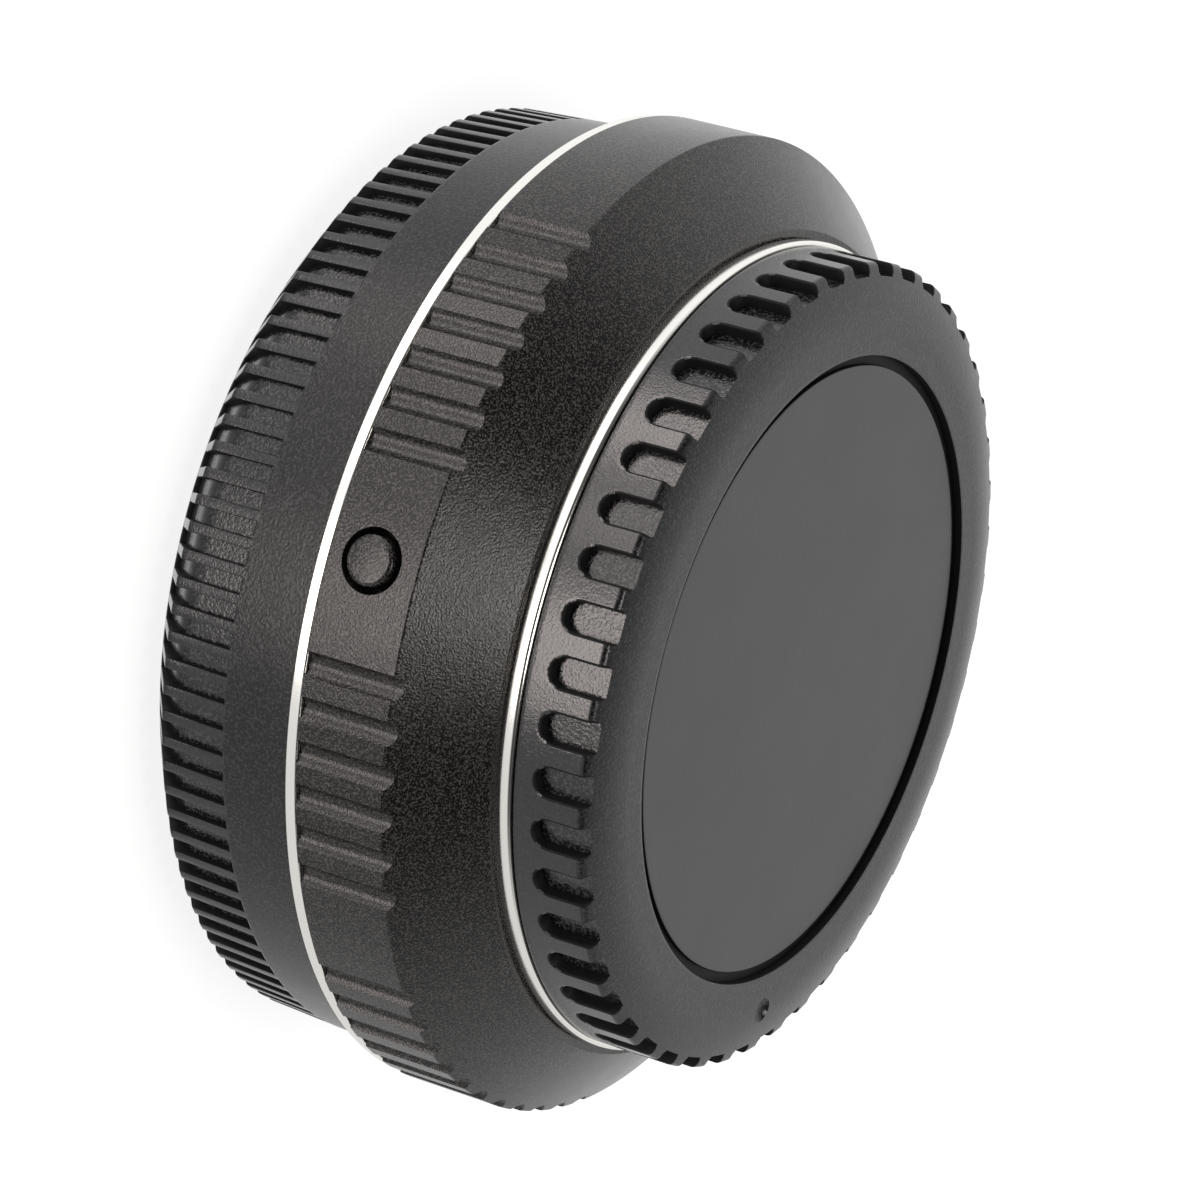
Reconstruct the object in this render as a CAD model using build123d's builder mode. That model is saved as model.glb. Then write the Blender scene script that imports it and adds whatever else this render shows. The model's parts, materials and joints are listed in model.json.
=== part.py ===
from build123d import *
from math import cos, degrees, radians, sin
import os

# Lens mount adapter with a dust cap on each side, in millimetres.
# It stands on its rear cap. Z is the optical axis and points at the lens side. The button faces -Y.
# Angles are in degrees about Z, from the button, counter-clockwise as seen from the lens side.

# Heights of the visible stack, from the table up
rear_cap_height = 16.0
seat_gap = 0.05
plate_edge = 1.0
housing_straight = 8.2
cone_height = 5.7
lens_ring_band = 1.4
front_cap_height = 7.35
land_step = 0.5

# Lens side bayonet, from the throat outwards
bayonet_tabs = 3
lens_throat_r = 27.0
lens_tab_reach = 2.0
lens_tab_thickness = 1.35
lens_tab_arc = 60.0
lens_land_width = 3.2
lens_shoulder_width = 2.58
ring_undercut = 0.35
ring_undercut_height = 0.3
lip_step = 0.67
bore_step = 0.1
front_bore_depth = 2.05

# Housing shell, its rear cavity and its grip grooves, each group as first angle and count
baffle_overlap = 1.3
cavity_width = 6.8
cavity_depth = 4.95
groove_pitch = 5.0
groove_width = 2.05
groove_depth = 0.68
groove_groups = ((-42.5, 7), (12.5, 6), (52.5, 11), (122.5, 11), (192.5, 9))

# Release button, its fork and the lock pin that the fork draws back
button_height = 3.88
button_hole_r = 2.68
button_r = 2.075
button_proud = 0.45
button_edge = 0.35
button_wall = 4.5
button_travel = 1.2
pocket_overrun = 1.0
flange_r = 3.4
flange_thickness = 1.0
fork_gap = 2.5
fork_blade = 0.9
fork_margin = 0.45
fork_headroom = 0.25
lock_pin_r = 1.0
lock_pin_inset = 2.0
lock_pin_reach = 1.0
lock_pin_tail = 1.2
lock_pin_tip = 0.3
cross_pin_r = 0.5
post_r = 0.5
post_gap = 0.25
post_depth = 2.0
button_spring_r = 0.8
button_spring_wire_r = 0.12
button_spring_turns = 4.5

# Leaf spring under the lens ring
leaf_thickness = 0.25
leaf_edge = 0.2
leaf_width = 1.2
leaf_length = 8.0
leaf_headroom = 0.3

# Light baffle
shelf_thickness = 1.0
shelf_margin = 0.1
baffle_wall = 1.6
baffle_step = 1.8
baffle_step_thickness = 1.0
baffle_step_sink = 0.25
lower_tube_wall = 1.4
ear_width = 6.0
ear_gap = 1.8
ear_screw_inset = 3.3
ear_angles = (60.0, 180.0, 300.0)

# Sprung contacts of the lens side
contact_count = 8
contact_pitch = 6.5
contact_middle = 180.0
contact_r = 0.5
contact_tip = 0.4
contact_travel = 0.8
contact_headroom = 0.4
contact_length = 3.6
barrel_wall = 0.2
barrel_floor = 0.3
barrel_lift = 0.6
barrel_tail_r = 0.25
contact_spring_wire_r = 0.07
contact_spring_turns = 7.0
lens_block_gap = 0.4
lens_block_width = 2.9
lens_block_arc = 60.0
lens_block_screw_margin = 2.6
lens_block_screw_depth = 2.5

# Camera side bayonet
flex_gap = 0.6
mount_cylinder_wall = 1.8
mount_cylinder_depth = 6.25
camera_tab_reach = 1.8
camera_tab_thickness = 1.5
camera_tab_depth = 2.65
camera_tab_arc = 50.0
camera_land_margin = 1.8
plate_reach = 1.5
plate_inset = 0.15
boss_width = 1.75
boss_height = 1.0
boss_gap_arc = 16.0
socket_r = 1.1
socket_depth = 1.05
socket_angle = 150.0
socket_inset = 3.0

# Camera contacts
camera_block_width = 2.8
camera_block_height = 3.4
camera_block_rise = 0.2
camera_block_middle = 112.0
camera_block_arc = 70.0
camera_block_screw_margin = 3.5
camera_block_screw_depth = 2.5
pad_count = 12
pad_pitch = 4.5
pad_r = 0.8
pad_proud = 0.3
pad_inset = 1.4

# Circuit board, its parts and the two flexible leads
board_clearance = 0.4
board_inset = 2.4
board_thickness = 0.8
board_start = 75.0
board_end = 171.0
board_screw_angles = (80.0, 150.0)
chip_angle = 131.0
chip_margin = 0.5
chip_height = 0.9
connector_width = 4.0
connector_height = 0.8
connector_setback = 0.65
connector_margin = 1.0
front_connector_angle = 164.0
flex_thickness = 0.2
flex_width = 3.2
flex_reach = 1.7
flex_notch_gap = 0.35
flex_strip_inset = 0.7
flex_strip_width = 1.6

# Screws
screw_clearance = 0.02
tip_gap = 0.3
mount_screw_angles = (45.0, 135.0, 225.0, 315.0)
lens_screw_head_r = 1.45
lens_screw_r = 0.8
lens_screw_length = 5.0
camera_screw_head_r = 1.7
camera_screw_r = 0.95
camera_screw_length = 6.5
camera_screw_inset = 1.6
pan_screw_head_r = 1.3
pan_screw_head_height = 0.7
pan_screw_r = 0.7
pan_screw_depth = 2.5
small_screw_head_r = 0.8
small_screw_head_height = 0.4
small_screw_r = 0.45
drive_share = 1.1
drive_width = 0.35
drive_depth = 0.35

# Front cap
rim_gap = 0.2
rim_wall = 2.0
rim_edge = 0.35
rim_edge_drop = 0.5
crown_width = 5.0
crown_drop = 0.95
face_land = 2.2
face_groove_width = 0.9
face_groove_depth = 0.85
disc_drop = 0.45
front_cap_plate = 1.7
skirt_gap = 0.3
skirt_wall = 1.7
front_tab_gap = 0.6
front_tab_arc = 50.0
front_lock_gap = 0.15
rim_slots = 48
rim_slot_width = 2.45
rim_slot_depth = 1.05
rim_slot_land = 1.9
dimple_angle = 107.6
dimple_r = 1.2
dimple_inset = 1.25
dimple_depth = 0.55

# Rear cap
cap_kink_inset = 0.64
cap_kink_height = 2.65
cap_edge_inset = 4.05
cap_wall = 1.9
cap_land_gap = 0.2
cap_floor = 2.2
moat_floor = 3.4
rear_ring_gap = 0.8
rear_ring_wall = 1.5
rear_ring_headroom = 0.55
rear_lug_gap = 0.4
rear_lug_arc = 50.0
rear_lug_headroom = 0.95
rear_lock_gap = 0.2
rib_slots = 111
rib_slot_start = 0.44
rib_slot_share = 0.61
rib_slot_depth = 0.55
rib_slot_top = 8.72
rib_slot_kink = 3.45
rib_slot_rim = 0.19
rib_slot_lip = 0.45

# Fits shared by several pieces
running_clearance = 0.05
press_clearance = 0.01
flange_clearance = 0.05
channel_clearance = 0.2
bond = 0.3

# Levels that the stack gives
z_plate = rear_cap_height + seat_gap
z_camera_land = z_plate - land_step
z_housing = z_plate + plate_edge
z_crease = z_housing + housing_straight
z_lip = z_crease + cone_height
z_shoulder = z_lip + lens_ring_band
z_land = z_shoulder + land_step
z_front_cap = z_shoulder + seat_gap
z_face = z_front_cap + front_cap_height
z_web_bottom = z_housing + cavity_depth
z_web_top = z_lip - front_bore_depth
z_lens_tab = z_land - lens_tab_thickness
z_front_tab_top = z_lens_tab - front_lock_gap
z_skirt = z_front_tab_top - lens_tab_thickness

# Radii that the lens side gives, from the throat outwards
ring_inner_r = lens_throat_r + lens_tab_reach
lens_land_r = ring_inner_r + lens_land_width
ring_band_r = lens_land_r + lens_shoulder_width
lip_r = ring_band_r + lip_step
web_bore_r = lens_throat_r - bore_step
front_bore_r = ring_inner_r - bore_step
baffle_r = web_bore_r + baffle_overlap
rear_bore_r = baffle_r + cavity_width
lens_screw_circle_r = ring_inner_r + lens_land_width / 2
lock_pin_circle_r = ring_inner_r + lock_pin_inset

# Radii that the camera side gives
lower_tube_r = baffle_r + baffle_step
mount_bore_r = lower_tube_r + flex_gap
mount_cylinder_r = mount_bore_r + mount_cylinder_wall
camera_tab_r = mount_cylinder_r + camera_tab_reach
camera_screw_circle_r = rear_bore_r + camera_screw_inset
camera_land_r = camera_screw_circle_r + camera_land_margin
moat_r = camera_land_r + cap_land_gap
cap_top_r = moat_r + cap_wall
plate_r = cap_top_r + plate_reach
housing_r = plate_r + plate_inset
z_mount_end = z_camera_land - mount_cylinder_depth
z_camera_tab = z_camera_land - camera_tab_depth
tab_angles = [index * 360.0 / bayonet_tabs for index in range(bayonet_tabs)]
BOTTOM = (Align.CENTER, Align.CENTER, Align.MIN)


def spot(radius, angle, z=0.0):
    """Point at a radius and an angle about the optical axis."""
    return (radius * sin(radians(angle)), -radius * cos(radians(angle)), z)


def outward_plane(radius, angle, z):
    """Plane that faces away from the optical axis, with its y along Z."""
    across = (cos(radians(angle)), sin(radians(angle)), 0)
    return Plane(origin=spot(radius, angle, z), x_dir=across, z_dir=spot(1, angle))


def section_plane(angle):
    """Plane that holds the optical axis, with its x along the radius at an angle and its y along Z."""
    normal = (-cos(radians(angle)), -sin(radians(angle)), 0)
    return Plane(origin=(0, 0, 0), x_dir=spot(1, angle), z_dir=normal)


def turned(points, mode=Mode.ADD):
    """Turns a closed outline of radius and height points about the optical axis."""
    with BuildSketch(Plane.XZ) as outline:
        with BuildLine():
            Polyline(*points, close=True)
        make_face()
    revolve(outline.sketch, axis=Axis.Z, mode=mode)


def ring_arc(r_in, r_out, middle, arc, z_low, z_high, mode=Mode.ADD):
    """Raises a stretch of ring between two radii, arc degrees long about its middle angle."""
    start = middle - 90 - arc / 2
    with BuildSketch(Plane.XY.offset(z_low)) as outline:
        with BuildLine():
            outer = CenterArc((0, 0), r_out, start, arc)
            inner = CenterArc((0, 0), r_in, start, arc)
            Line(outer @ 0, inner @ 0)
            Line(outer @ 1, inner @ 1)
        make_face()
    extrude(outline.sketch, amount=z_high - z_low, mode=mode)


def rods(spots, radius, z_low, z_high, mode=Mode.ADD):
    """Upright round rods, or holes, between two levels."""
    with Locations(*[(x, y, z_low) for x, y, _ in spots]):
        Cylinder(radius, z_high - z_low, align=BOTTOM, mode=mode)


def flat_head(spots, head_r, shank_r, length, way, gap=0.0, mode=Mode.ADD):
    """Countersunk screws, or their holes, with heads at the spots, driven up (way 1) or down (way -1)."""
    with Locations(*[Plane(origin=place, z_dir=(0, 0, way)) for place in spots]):
        Cone(head_r + gap, shank_r + gap, head_r - shank_r, align=BOTTOM, mode=mode)
        Cylinder(shank_r + gap, length, align=BOTTOM, mode=mode)
        if mode == Mode.ADD:
            Box(head_r * drive_share, drive_width, drive_depth, align=BOTTOM, mode=Mode.SUBTRACT)
            Box(drive_width, head_r * drive_share, drive_depth, align=BOTTOM, mode=Mode.SUBTRACT)


def pan_head(spots, head_r, head_height, shank_r, length):
    """Pan head screws driven upwards, with the underside of their heads at the spots."""
    with Locations(*[(x, y, z - head_height) for x, y, z in spots]):
        Cylinder(head_r, head_height, align=BOTTOM)
        Cylinder(shank_r, head_height + length, align=BOTTOM)
        Box(head_r * drive_share, drive_width, drive_depth, align=BOTTOM, mode=Mode.SUBTRACT)
        Box(drive_width, head_r * drive_share, drive_depth, align=BOTTOM, mode=Mode.SUBTRACT)


def coil(start, direction, length, radius, wire_r, turns):
    """Coil spring of round wire that fills a length along a direction."""
    along = Vector(*direction)
    first = Vector(*start) + along * wire_r
    run = length - 2 * wire_r
    with BuildLine() as path:
        Helix(pitch=run / turns, height=run, radius=radius, center=first, direction=along)
    with BuildSketch(Plane(origin=path.line @ 0, z_dir=path.line % 0)) as wire:
        Circle(wire_r)
    sweep(wire.sketch, path=path.line, is_frenet=True)


os.makedirs("parts", exist_ok=True)

# Places of the screws, the button and the lock
lens_screw_spots = [spot(lens_screw_circle_r, angle, z_land) for angle in mount_screw_angles]
camera_screw_spots = [spot(camera_screw_circle_r, angle, z_camera_land) for angle in mount_screw_angles]
z_shelf = z_web_bottom - shelf_thickness
ear_screw_spots = [spot(baffle_r + ear_screw_inset, angle, z_shelf) for angle in ear_angles]
board_in_r = baffle_r + board_inset
board_out_r = rear_bore_r - board_clearance
board_middle_r = (board_in_r + board_out_r) / 2
z_board = z_web_bottom - board_thickness
board_screw_spots = [spot(board_middle_r, angle, z_board) for angle in board_screw_angles]
z_button = z_housing + button_height
pocket_y = button_wall - housing_r
flange_back_y = pocket_y + flange_thickness
fork_slot_r = cross_pin_r + running_clearance
fork_top = z_web_bottom - fork_headroom
z_cross_pin = fork_top - fork_margin - fork_slot_r
fork_bottom = z_cross_pin - button_travel - fork_slot_r - fork_margin
fork_end_y = -lock_pin_circle_r + fork_slot_r + fork_margin
fork_half = fork_gap / 2 + fork_blade
post_y = -lock_pin_circle_r - lock_pin_r - post_gap - post_r
z_button_spring = (fork_top + fork_bottom) / 2
lock_pin_spot = spot(lock_pin_circle_r, 0)
post_spot = (0, post_y, 0)

# Housing: turned shell with a web, grip grooves that run out through the cone, and the button's pocket
groove_arc_r = (groove_width ** 2 / 4 + groove_depth ** 2) / (2 * groove_depth)
groove_angles = [first + step * groove_pitch for first, count in groove_groups for step in range(count)]
groove_spots = [spot(housing_r - groove_depth + groove_arc_r, angle) for angle in groove_angles]
pocket_end_y = max(pocket_overrun - rear_bore_r, flange_back_y + button_travel + channel_clearance)
with BuildPart() as housing:
    turned([
        (rear_bore_r, z_housing),
        (housing_r, z_housing),
        (housing_r, z_crease),
        (lip_r, z_lip),
        (front_bore_r, z_lip),
        (front_bore_r, z_web_top),
        (web_bore_r, z_web_top),
        (web_bore_r, z_web_bottom),
        (rear_bore_r, z_web_bottom),
    ])
    rods(groove_spots, groove_arc_r, z_housing, z_lip, mode=Mode.SUBTRACT)
    with BuildSketch(Plane(origin=(0, -housing_r, z_button), x_dir=(1, 0, 0), z_dir=(0, 1, 0))):
        Circle(button_hole_r)
    extrude(amount=button_wall, both=True, mode=Mode.SUBTRACT)
    with BuildSketch(Plane(origin=(0, pocket_y, z_button), x_dir=(1, 0, 0), z_dir=(0, 1, 0))):
        Circle(flange_r + flange_clearance)
    extrude(amount=pocket_end_y - pocket_y, mode=Mode.SUBTRACT)
    with BuildSketch(Plane(origin=(0, pocket_y, 0), x_dir=(1, 0, 0), z_dir=(0, -1, 0))):
        with Locations((0, fork_bottom - channel_clearance)):
            Rectangle(2 * (fork_half + channel_clearance), z_web_bottom - fork_bottom + channel_clearance,
                      align=(Align.CENTER, Align.MIN))
    extrude(amount=pocket_y - pocket_end_y, mode=Mode.SUBTRACT)
    rods([lock_pin_spot], lock_pin_r + running_clearance, z_web_bottom, z_lip, mode=Mode.SUBTRACT)
    rods([post_spot], post_r + press_clearance, z_web_bottom, z_web_bottom + post_depth,
         mode=Mode.SUBTRACT)
    rods(lens_screw_spots, lens_screw_r + screw_clearance, z_land - lens_screw_length - tip_gap, z_lip,
         mode=Mode.SUBTRACT)
    rods(camera_screw_spots, camera_screw_r + screw_clearance, z_housing,
         z_camera_land + camera_screw_length + tip_gap, mode=Mode.SUBTRACT)
    rods(ear_screw_spots + board_screw_spots, pan_screw_r + screw_clearance, z_web_bottom,
         z_web_bottom + pan_screw_depth + tip_gap, mode=Mode.SUBTRACT)
housing.part.label = "housing"
export_step(housing.part, "parts/housing.step")

# Lens mount ring: chrome bayonet with inner tabs, a raised land and a thin undercut above the cone's lip
with BuildPart() as lens_mount_ring:
    turned([
        (ring_inner_r, z_lip),
        (ring_band_r - ring_undercut, z_lip),
        (ring_band_r - ring_undercut, z_lip + ring_undercut_height),
        (ring_band_r, z_lip + ring_undercut_height),
        (ring_band_r, z_shoulder),
        (lens_land_r, z_shoulder),
        (lens_land_r, z_land),
        (ring_inner_r, z_land),
    ])
    for tab_angle in tab_angles:
        ring_arc(lens_throat_r, ring_inner_r + bond, tab_angle, lens_tab_arc, z_lens_tab, z_land)
    flat_head(lens_screw_spots, lens_screw_head_r, lens_screw_r, lens_screw_length, -1,
              gap=screw_clearance, mode=Mode.SUBTRACT)
    rods([lock_pin_spot], lock_pin_r + running_clearance, z_lip, z_land, mode=Mode.SUBTRACT)
lens_mount_ring.part.label = "lens_mount_ring"
export_step(lens_mount_ring.part, "parts/lens_mount_ring.step")

with BuildPart() as lens_mount_screws:
    flat_head(lens_screw_spots, lens_screw_head_r, lens_screw_r, lens_screw_length, -1)
lens_mount_screws.part.label = "lens_mount_screws"
export_step(lens_mount_screws.part, "parts/lens_mount_screws.step")

# Leaf spring: a flat ring on the web with a tongue that rises under each lens tab
leaf_in_r = web_bore_r + leaf_edge
leaf_out_r = front_bore_r - leaf_edge
leaf_rise = z_skirt - leaf_headroom - z_web_top - 2 * leaf_thickness
with BuildPart() as mount_spring:
    turned([
        (leaf_in_r, z_web_top),
        (leaf_out_r, z_web_top),
        (leaf_out_r, z_web_top + leaf_thickness),
        (leaf_in_r, z_web_top + leaf_thickness),
    ])
    for tab_angle in tab_angles:
        low = leaf_thickness / 2
        with BuildSketch(outward_plane((leaf_in_r + leaf_out_r) / 2, tab_angle, z_web_top)):
            with BuildLine():
                Polyline(
                    (-leaf_length / 2, low),
                    (leaf_length / 2, low + leaf_rise),
                    (leaf_length / 2, low + leaf_rise + leaf_thickness),
                    (-leaf_length / 2, low + leaf_thickness),
                    close=True,
                )
            make_face()
        extrude(amount=leaf_width / 2, both=True)
mount_spring.part.label = "mount_spring"
export_step(mount_spring.part, "parts/mount_spring.step")

# Lock pin with its cross pin, which the button's fork draws down
with BuildPart() as lock_pin:
    rods([lock_pin_spot], lock_pin_r, z_cross_pin - lock_pin_tail, z_land + lock_pin_reach)
    chamfer(lock_pin.edges().group_by(Axis.Z)[-1], lock_pin_tip)
    with Locations(Plane(origin=(0, -lock_pin_circle_r, z_cross_pin), z_dir=(1, 0, 0))):
        Cylinder(cross_pin_r + press_clearance, 2 * fork_half, mode=Mode.SUBTRACT)
lock_pin.part.label = "lock_pin"
export_step(lock_pin.part, "parts/lock_pin.step")

with BuildPart() as lock_cross_pin:
    with Locations(Plane(origin=(0, -lock_pin_circle_r, z_cross_pin), z_dir=(1, 0, 0))):
        Cylinder(cross_pin_r, 2 * fork_half)
lock_cross_pin.part.label = "lock_cross_pin"
export_step(lock_cross_pin.part, "parts/lock_cross_pin.step")

# Release button: round head, retaining flange and a two-bladed fork with sloping slots
button_face_y = -housing_r - button_proud
with BuildPart() as release_button:
    with BuildSketch(Plane(origin=(0, button_face_y, z_button), x_dir=(1, 0, 0), z_dir=(0, 1, 0))):
        Circle(button_r)
    extrude(amount=flange_back_y - button_face_y)
    fillet(release_button.edges().group_by(Axis.Y)[0], button_edge)
    with BuildSketch(Plane(origin=(0, pocket_y, z_button), x_dir=(1, 0, 0), z_dir=(0, 1, 0))):
        Circle(flange_r)
    extrude(amount=flange_thickness)
    with BuildSketch(Plane(origin=(fork_gap / 2, 0, 0), x_dir=(0, 1, 0), z_dir=(1, 0, 0)),
                     Plane(origin=(-fork_half, 0, 0), x_dir=(0, 1, 0), z_dir=(1, 0, 0))):
        with Locations((flange_back_y - flange_thickness / 2, fork_bottom)):
            Rectangle(fork_end_y - flange_back_y + flange_thickness / 2, fork_top - fork_bottom,
                      align=(Align.MIN, Align.MIN))
        with Locations((-lock_pin_circle_r - button_travel / 2, z_cross_pin - button_travel / 2)):
            SlotCenterToCenter(button_travel * 2 ** 0.5, 2 * fork_slot_r, rotation=45, mode=Mode.SUBTRACT)
    extrude(amount=fork_blade)
release_button.part.label = "release_button"
export_step(release_button.part, "parts/release_button.step")

with BuildPart() as spring_post:
    post_foot = z_button_spring - button_spring_r - button_spring_wire_r
    rods([post_spot], post_r, post_foot, z_web_bottom + post_depth)
spring_post.part.label = "spring_post"
export_step(spring_post.part, "parts/spring_post.step")

with BuildPart() as button_spring:
    coil((0, flange_back_y, z_button_spring), (0, 1, 0), post_y - post_r - flange_back_y,
         button_spring_r, button_spring_wire_r, button_spring_turns)
button_spring.part.label = "button_spring"
export_step(button_spring.part, "parts/button_spring.step")

# Light baffle: a shelf under the web, a stepped tube towards the camera and three screw ears
lens_block_out_r = web_bore_r - lens_block_gap
lens_block_in_r = lens_block_out_r - lens_block_width
contact_circle_r = (lens_block_in_r + lens_block_out_r) / 2
z_camera_block = z_mount_end + camera_block_rise
z_lower_tube = z_camera_block + camera_block_height
z_step = z_housing - baffle_step_sink
camera_screw_angles = [camera_block_middle + way * (camera_block_arc / 2 - camera_block_screw_margin)
                       for way in (-1, 1)]
block_screw_circle_r = lower_tube_r - lower_tube_wall / 2
camera_block_screw_spots = [spot(block_screw_circle_r, angle, z_camera_block)
                            for angle in camera_screw_angles]
lens_screw_angles = [contact_middle + way * (lens_block_arc / 2 - lens_block_screw_margin) for way in (-1, 1)]
lens_block_screw_spots = [spot(contact_circle_r, angle, z_shelf) for angle in lens_screw_angles]
contact_arc = (contact_count - 1) * contact_pitch
flex_level = z_web_bottom - shelf_thickness / 4
flex_strip_in_r = lens_block_in_r + flex_strip_inset
flex_drop_r = baffle_r + flex_reach
connector_in_r = board_in_r + connector_setback
flex_arc = degrees(flex_width / board_in_r)
flex_notch_arc = degrees((flex_width + 2 * flex_notch_gap) / board_in_r)
with BuildPart() as inner_baffle:
    turned([
        (lens_block_in_r - shelf_margin, z_web_bottom),
        (baffle_r, z_web_bottom),
        (baffle_r, z_step + baffle_step_thickness),
        (lower_tube_r, z_step + baffle_step_thickness),
        (lower_tube_r, z_lower_tube),
        (lower_tube_r - lower_tube_wall, z_lower_tube),
        (lower_tube_r - lower_tube_wall, z_step),
        (baffle_r - baffle_wall, z_step),
        (baffle_r - baffle_wall, z_shelf),
        (lens_block_in_r - shelf_margin, z_shelf),
    ])
    for ear_angle in ear_angles:
        with BuildSketch(outward_plane(baffle_r - bond, ear_angle, z_shelf)):
            Rectangle(ear_width, shelf_thickness, align=(Align.CENTER, Align.MIN))
        extrude(amount=rear_bore_r - ear_gap - baffle_r + bond)
    rods(ear_screw_spots, pan_screw_r + screw_clearance, z_shelf, z_web_bottom, mode=Mode.SUBTRACT)
    rods(lens_block_screw_spots, small_screw_r + screw_clearance, z_shelf, z_web_bottom, mode=Mode.SUBTRACT)
    rods(camera_block_screw_spots, small_screw_r + screw_clearance, z_lower_tube,
         z_lower_tube + camera_block_screw_depth + tip_gap, mode=Mode.SUBTRACT)
    ring_arc(flex_strip_in_r - channel_clearance, flex_strip_in_r + flex_strip_width + channel_clearance,
             contact_middle, contact_arc + contact_pitch / 2, z_shelf + shelf_thickness / 2, z_web_bottom,
             mode=Mode.SUBTRACT)
    ring_arc(flex_strip_in_r, baffle_r + bond, front_connector_angle, flex_notch_arc,
             z_shelf + shelf_thickness / 2, z_web_bottom, mode=Mode.SUBTRACT)
inner_baffle.part.label = "inner_baffle"
export_step(inner_baffle.part, "parts/inner_baffle.step")

with BuildPart() as baffle_screws:
    pan_head(ear_screw_spots, pan_screw_head_r, pan_screw_head_height, pan_screw_r,
             shelf_thickness + pan_screw_depth)
baffle_screws.part.label = "baffle_screws"
export_step(baffle_screws.part, "parts/baffle_screws.step")

# Sprung contacts: a moulded block on the shelf, brass sleeves, plungers and their coil springs
z_barrel = z_web_bottom + barrel_lift
z_contact_tip = z_skirt - contact_headroom
z_block_top = z_contact_tip - contact_travel
z_contact_foot = z_contact_tip - contact_length
barrel_r = contact_r + running_clearance + barrel_wall
contact_angles = [contact_middle - contact_arc / 2 + step * contact_pitch for step in range(contact_count)]
contact_spots = [spot(contact_circle_r, angle) for angle in contact_angles]
with BuildPart() as lens_contact_block:
    ring_arc(lens_block_in_r, lens_block_out_r, contact_middle, lens_block_arc, z_web_bottom, z_block_top)
    rods(contact_spots, barrel_r + press_clearance, z_barrel, z_block_top, mode=Mode.SUBTRACT)
    rods(contact_spots, barrel_tail_r + press_clearance, z_web_bottom, z_barrel, mode=Mode.SUBTRACT)
    rods(lens_block_screw_spots, small_screw_r + screw_clearance, z_web_bottom,
         z_web_bottom + lens_block_screw_depth + tip_gap, mode=Mode.SUBTRACT)
lens_contact_block.part.label = "lens_contact_block"
export_step(lens_contact_block.part, "parts/lens_contact_block.step")

with BuildPart() as lens_block_screws:
    pan_head(lens_block_screw_spots, small_screw_head_r, small_screw_head_height, small_screw_r,
             shelf_thickness + lens_block_screw_depth)
lens_block_screws.part.label = "lens_block_screws"
export_step(lens_block_screws.part, "parts/lens_block_screws.step")

with BuildPart() as contact_barrels:
    rods(contact_spots, barrel_r, z_barrel, z_block_top)
    rods(contact_spots, barrel_tail_r, flex_level + seat_gap / 2, z_barrel)
    rods(contact_spots, contact_r + running_clearance, z_barrel + barrel_floor, z_block_top,
         mode=Mode.SUBTRACT)
contact_barrels.part.label = "contact_barrels"
export_step(contact_barrels.part, "parts/contact_barrels.step")

for number, contact_angle in enumerate(contact_angles, start=1):
    with BuildPart() as contact_pin:
        rods([spot(contact_circle_r, contact_angle)], contact_r, z_contact_foot, z_contact_tip)
        fillet(contact_pin.edges().group_by(Axis.Z)[-1], contact_tip)
    contact_pin.part.label = f"contact_pin_{number}"
    export_step(contact_pin.part, f"parts/contact_pin_{number}.step")

    with BuildPart() as contact_spring:
        coil(spot(contact_circle_r, contact_angle, z_barrel + barrel_floor), (0, 0, 1),
             z_contact_foot - z_barrel - barrel_floor, contact_r - contact_spring_wire_r,
             contact_spring_wire_r, contact_spring_turns)
    contact_spring.part.label = f"contact_spring_{number}"
    export_step(contact_spring.part, f"parts/contact_spring_{number}.step")

# Camera mount: chrome plate with a tabbed cylinder, a raised land and a register boss in the housing
boss_out_r = rear_bore_r - running_clearance
with BuildPart() as camera_mount:
    turned([
        (mount_bore_r, z_mount_end),
        (mount_cylinder_r, z_mount_end),
        (mount_cylinder_r, z_camera_land),
        (camera_land_r, z_camera_land),
        (camera_land_r, z_plate),
        (plate_r, z_plate),
        (plate_r, z_housing),
        (boss_out_r, z_housing),
        (boss_out_r, z_housing + boss_height),
        (boss_out_r - boss_width, z_housing + boss_height),
        (boss_out_r - boss_width, z_housing),
        (mount_bore_r, z_housing),
    ])
    ring_arc(boss_out_r - boss_width - bond, boss_out_r + bond, 0, boss_gap_arc, z_housing,
             z_housing + boss_height, mode=Mode.SUBTRACT)
    for tab_angle in tab_angles:
        ring_arc(mount_cylinder_r - bond, camera_tab_r, tab_angle, camera_tab_arc,
                 z_camera_tab - camera_tab_thickness, z_camera_tab)
    flat_head(camera_screw_spots, camera_screw_head_r, camera_screw_r, camera_screw_length, 1,
              gap=screw_clearance, mode=Mode.SUBTRACT)
    rods([spot(mount_cylinder_r + socket_inset, socket_angle)], socket_r, z_camera_land,
         z_camera_land + socket_depth, mode=Mode.SUBTRACT)
camera_mount.part.label = "camera_mount"
export_step(camera_mount.part, "parts/camera_mount.step")

with BuildPart() as camera_mount_screws:
    flat_head(camera_screw_spots, camera_screw_head_r, camera_screw_r, camera_screw_length, 1)
camera_mount_screws.part.label = "camera_mount_screws"
export_step(camera_mount_screws.part, "parts/camera_mount_screws.step")

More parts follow.
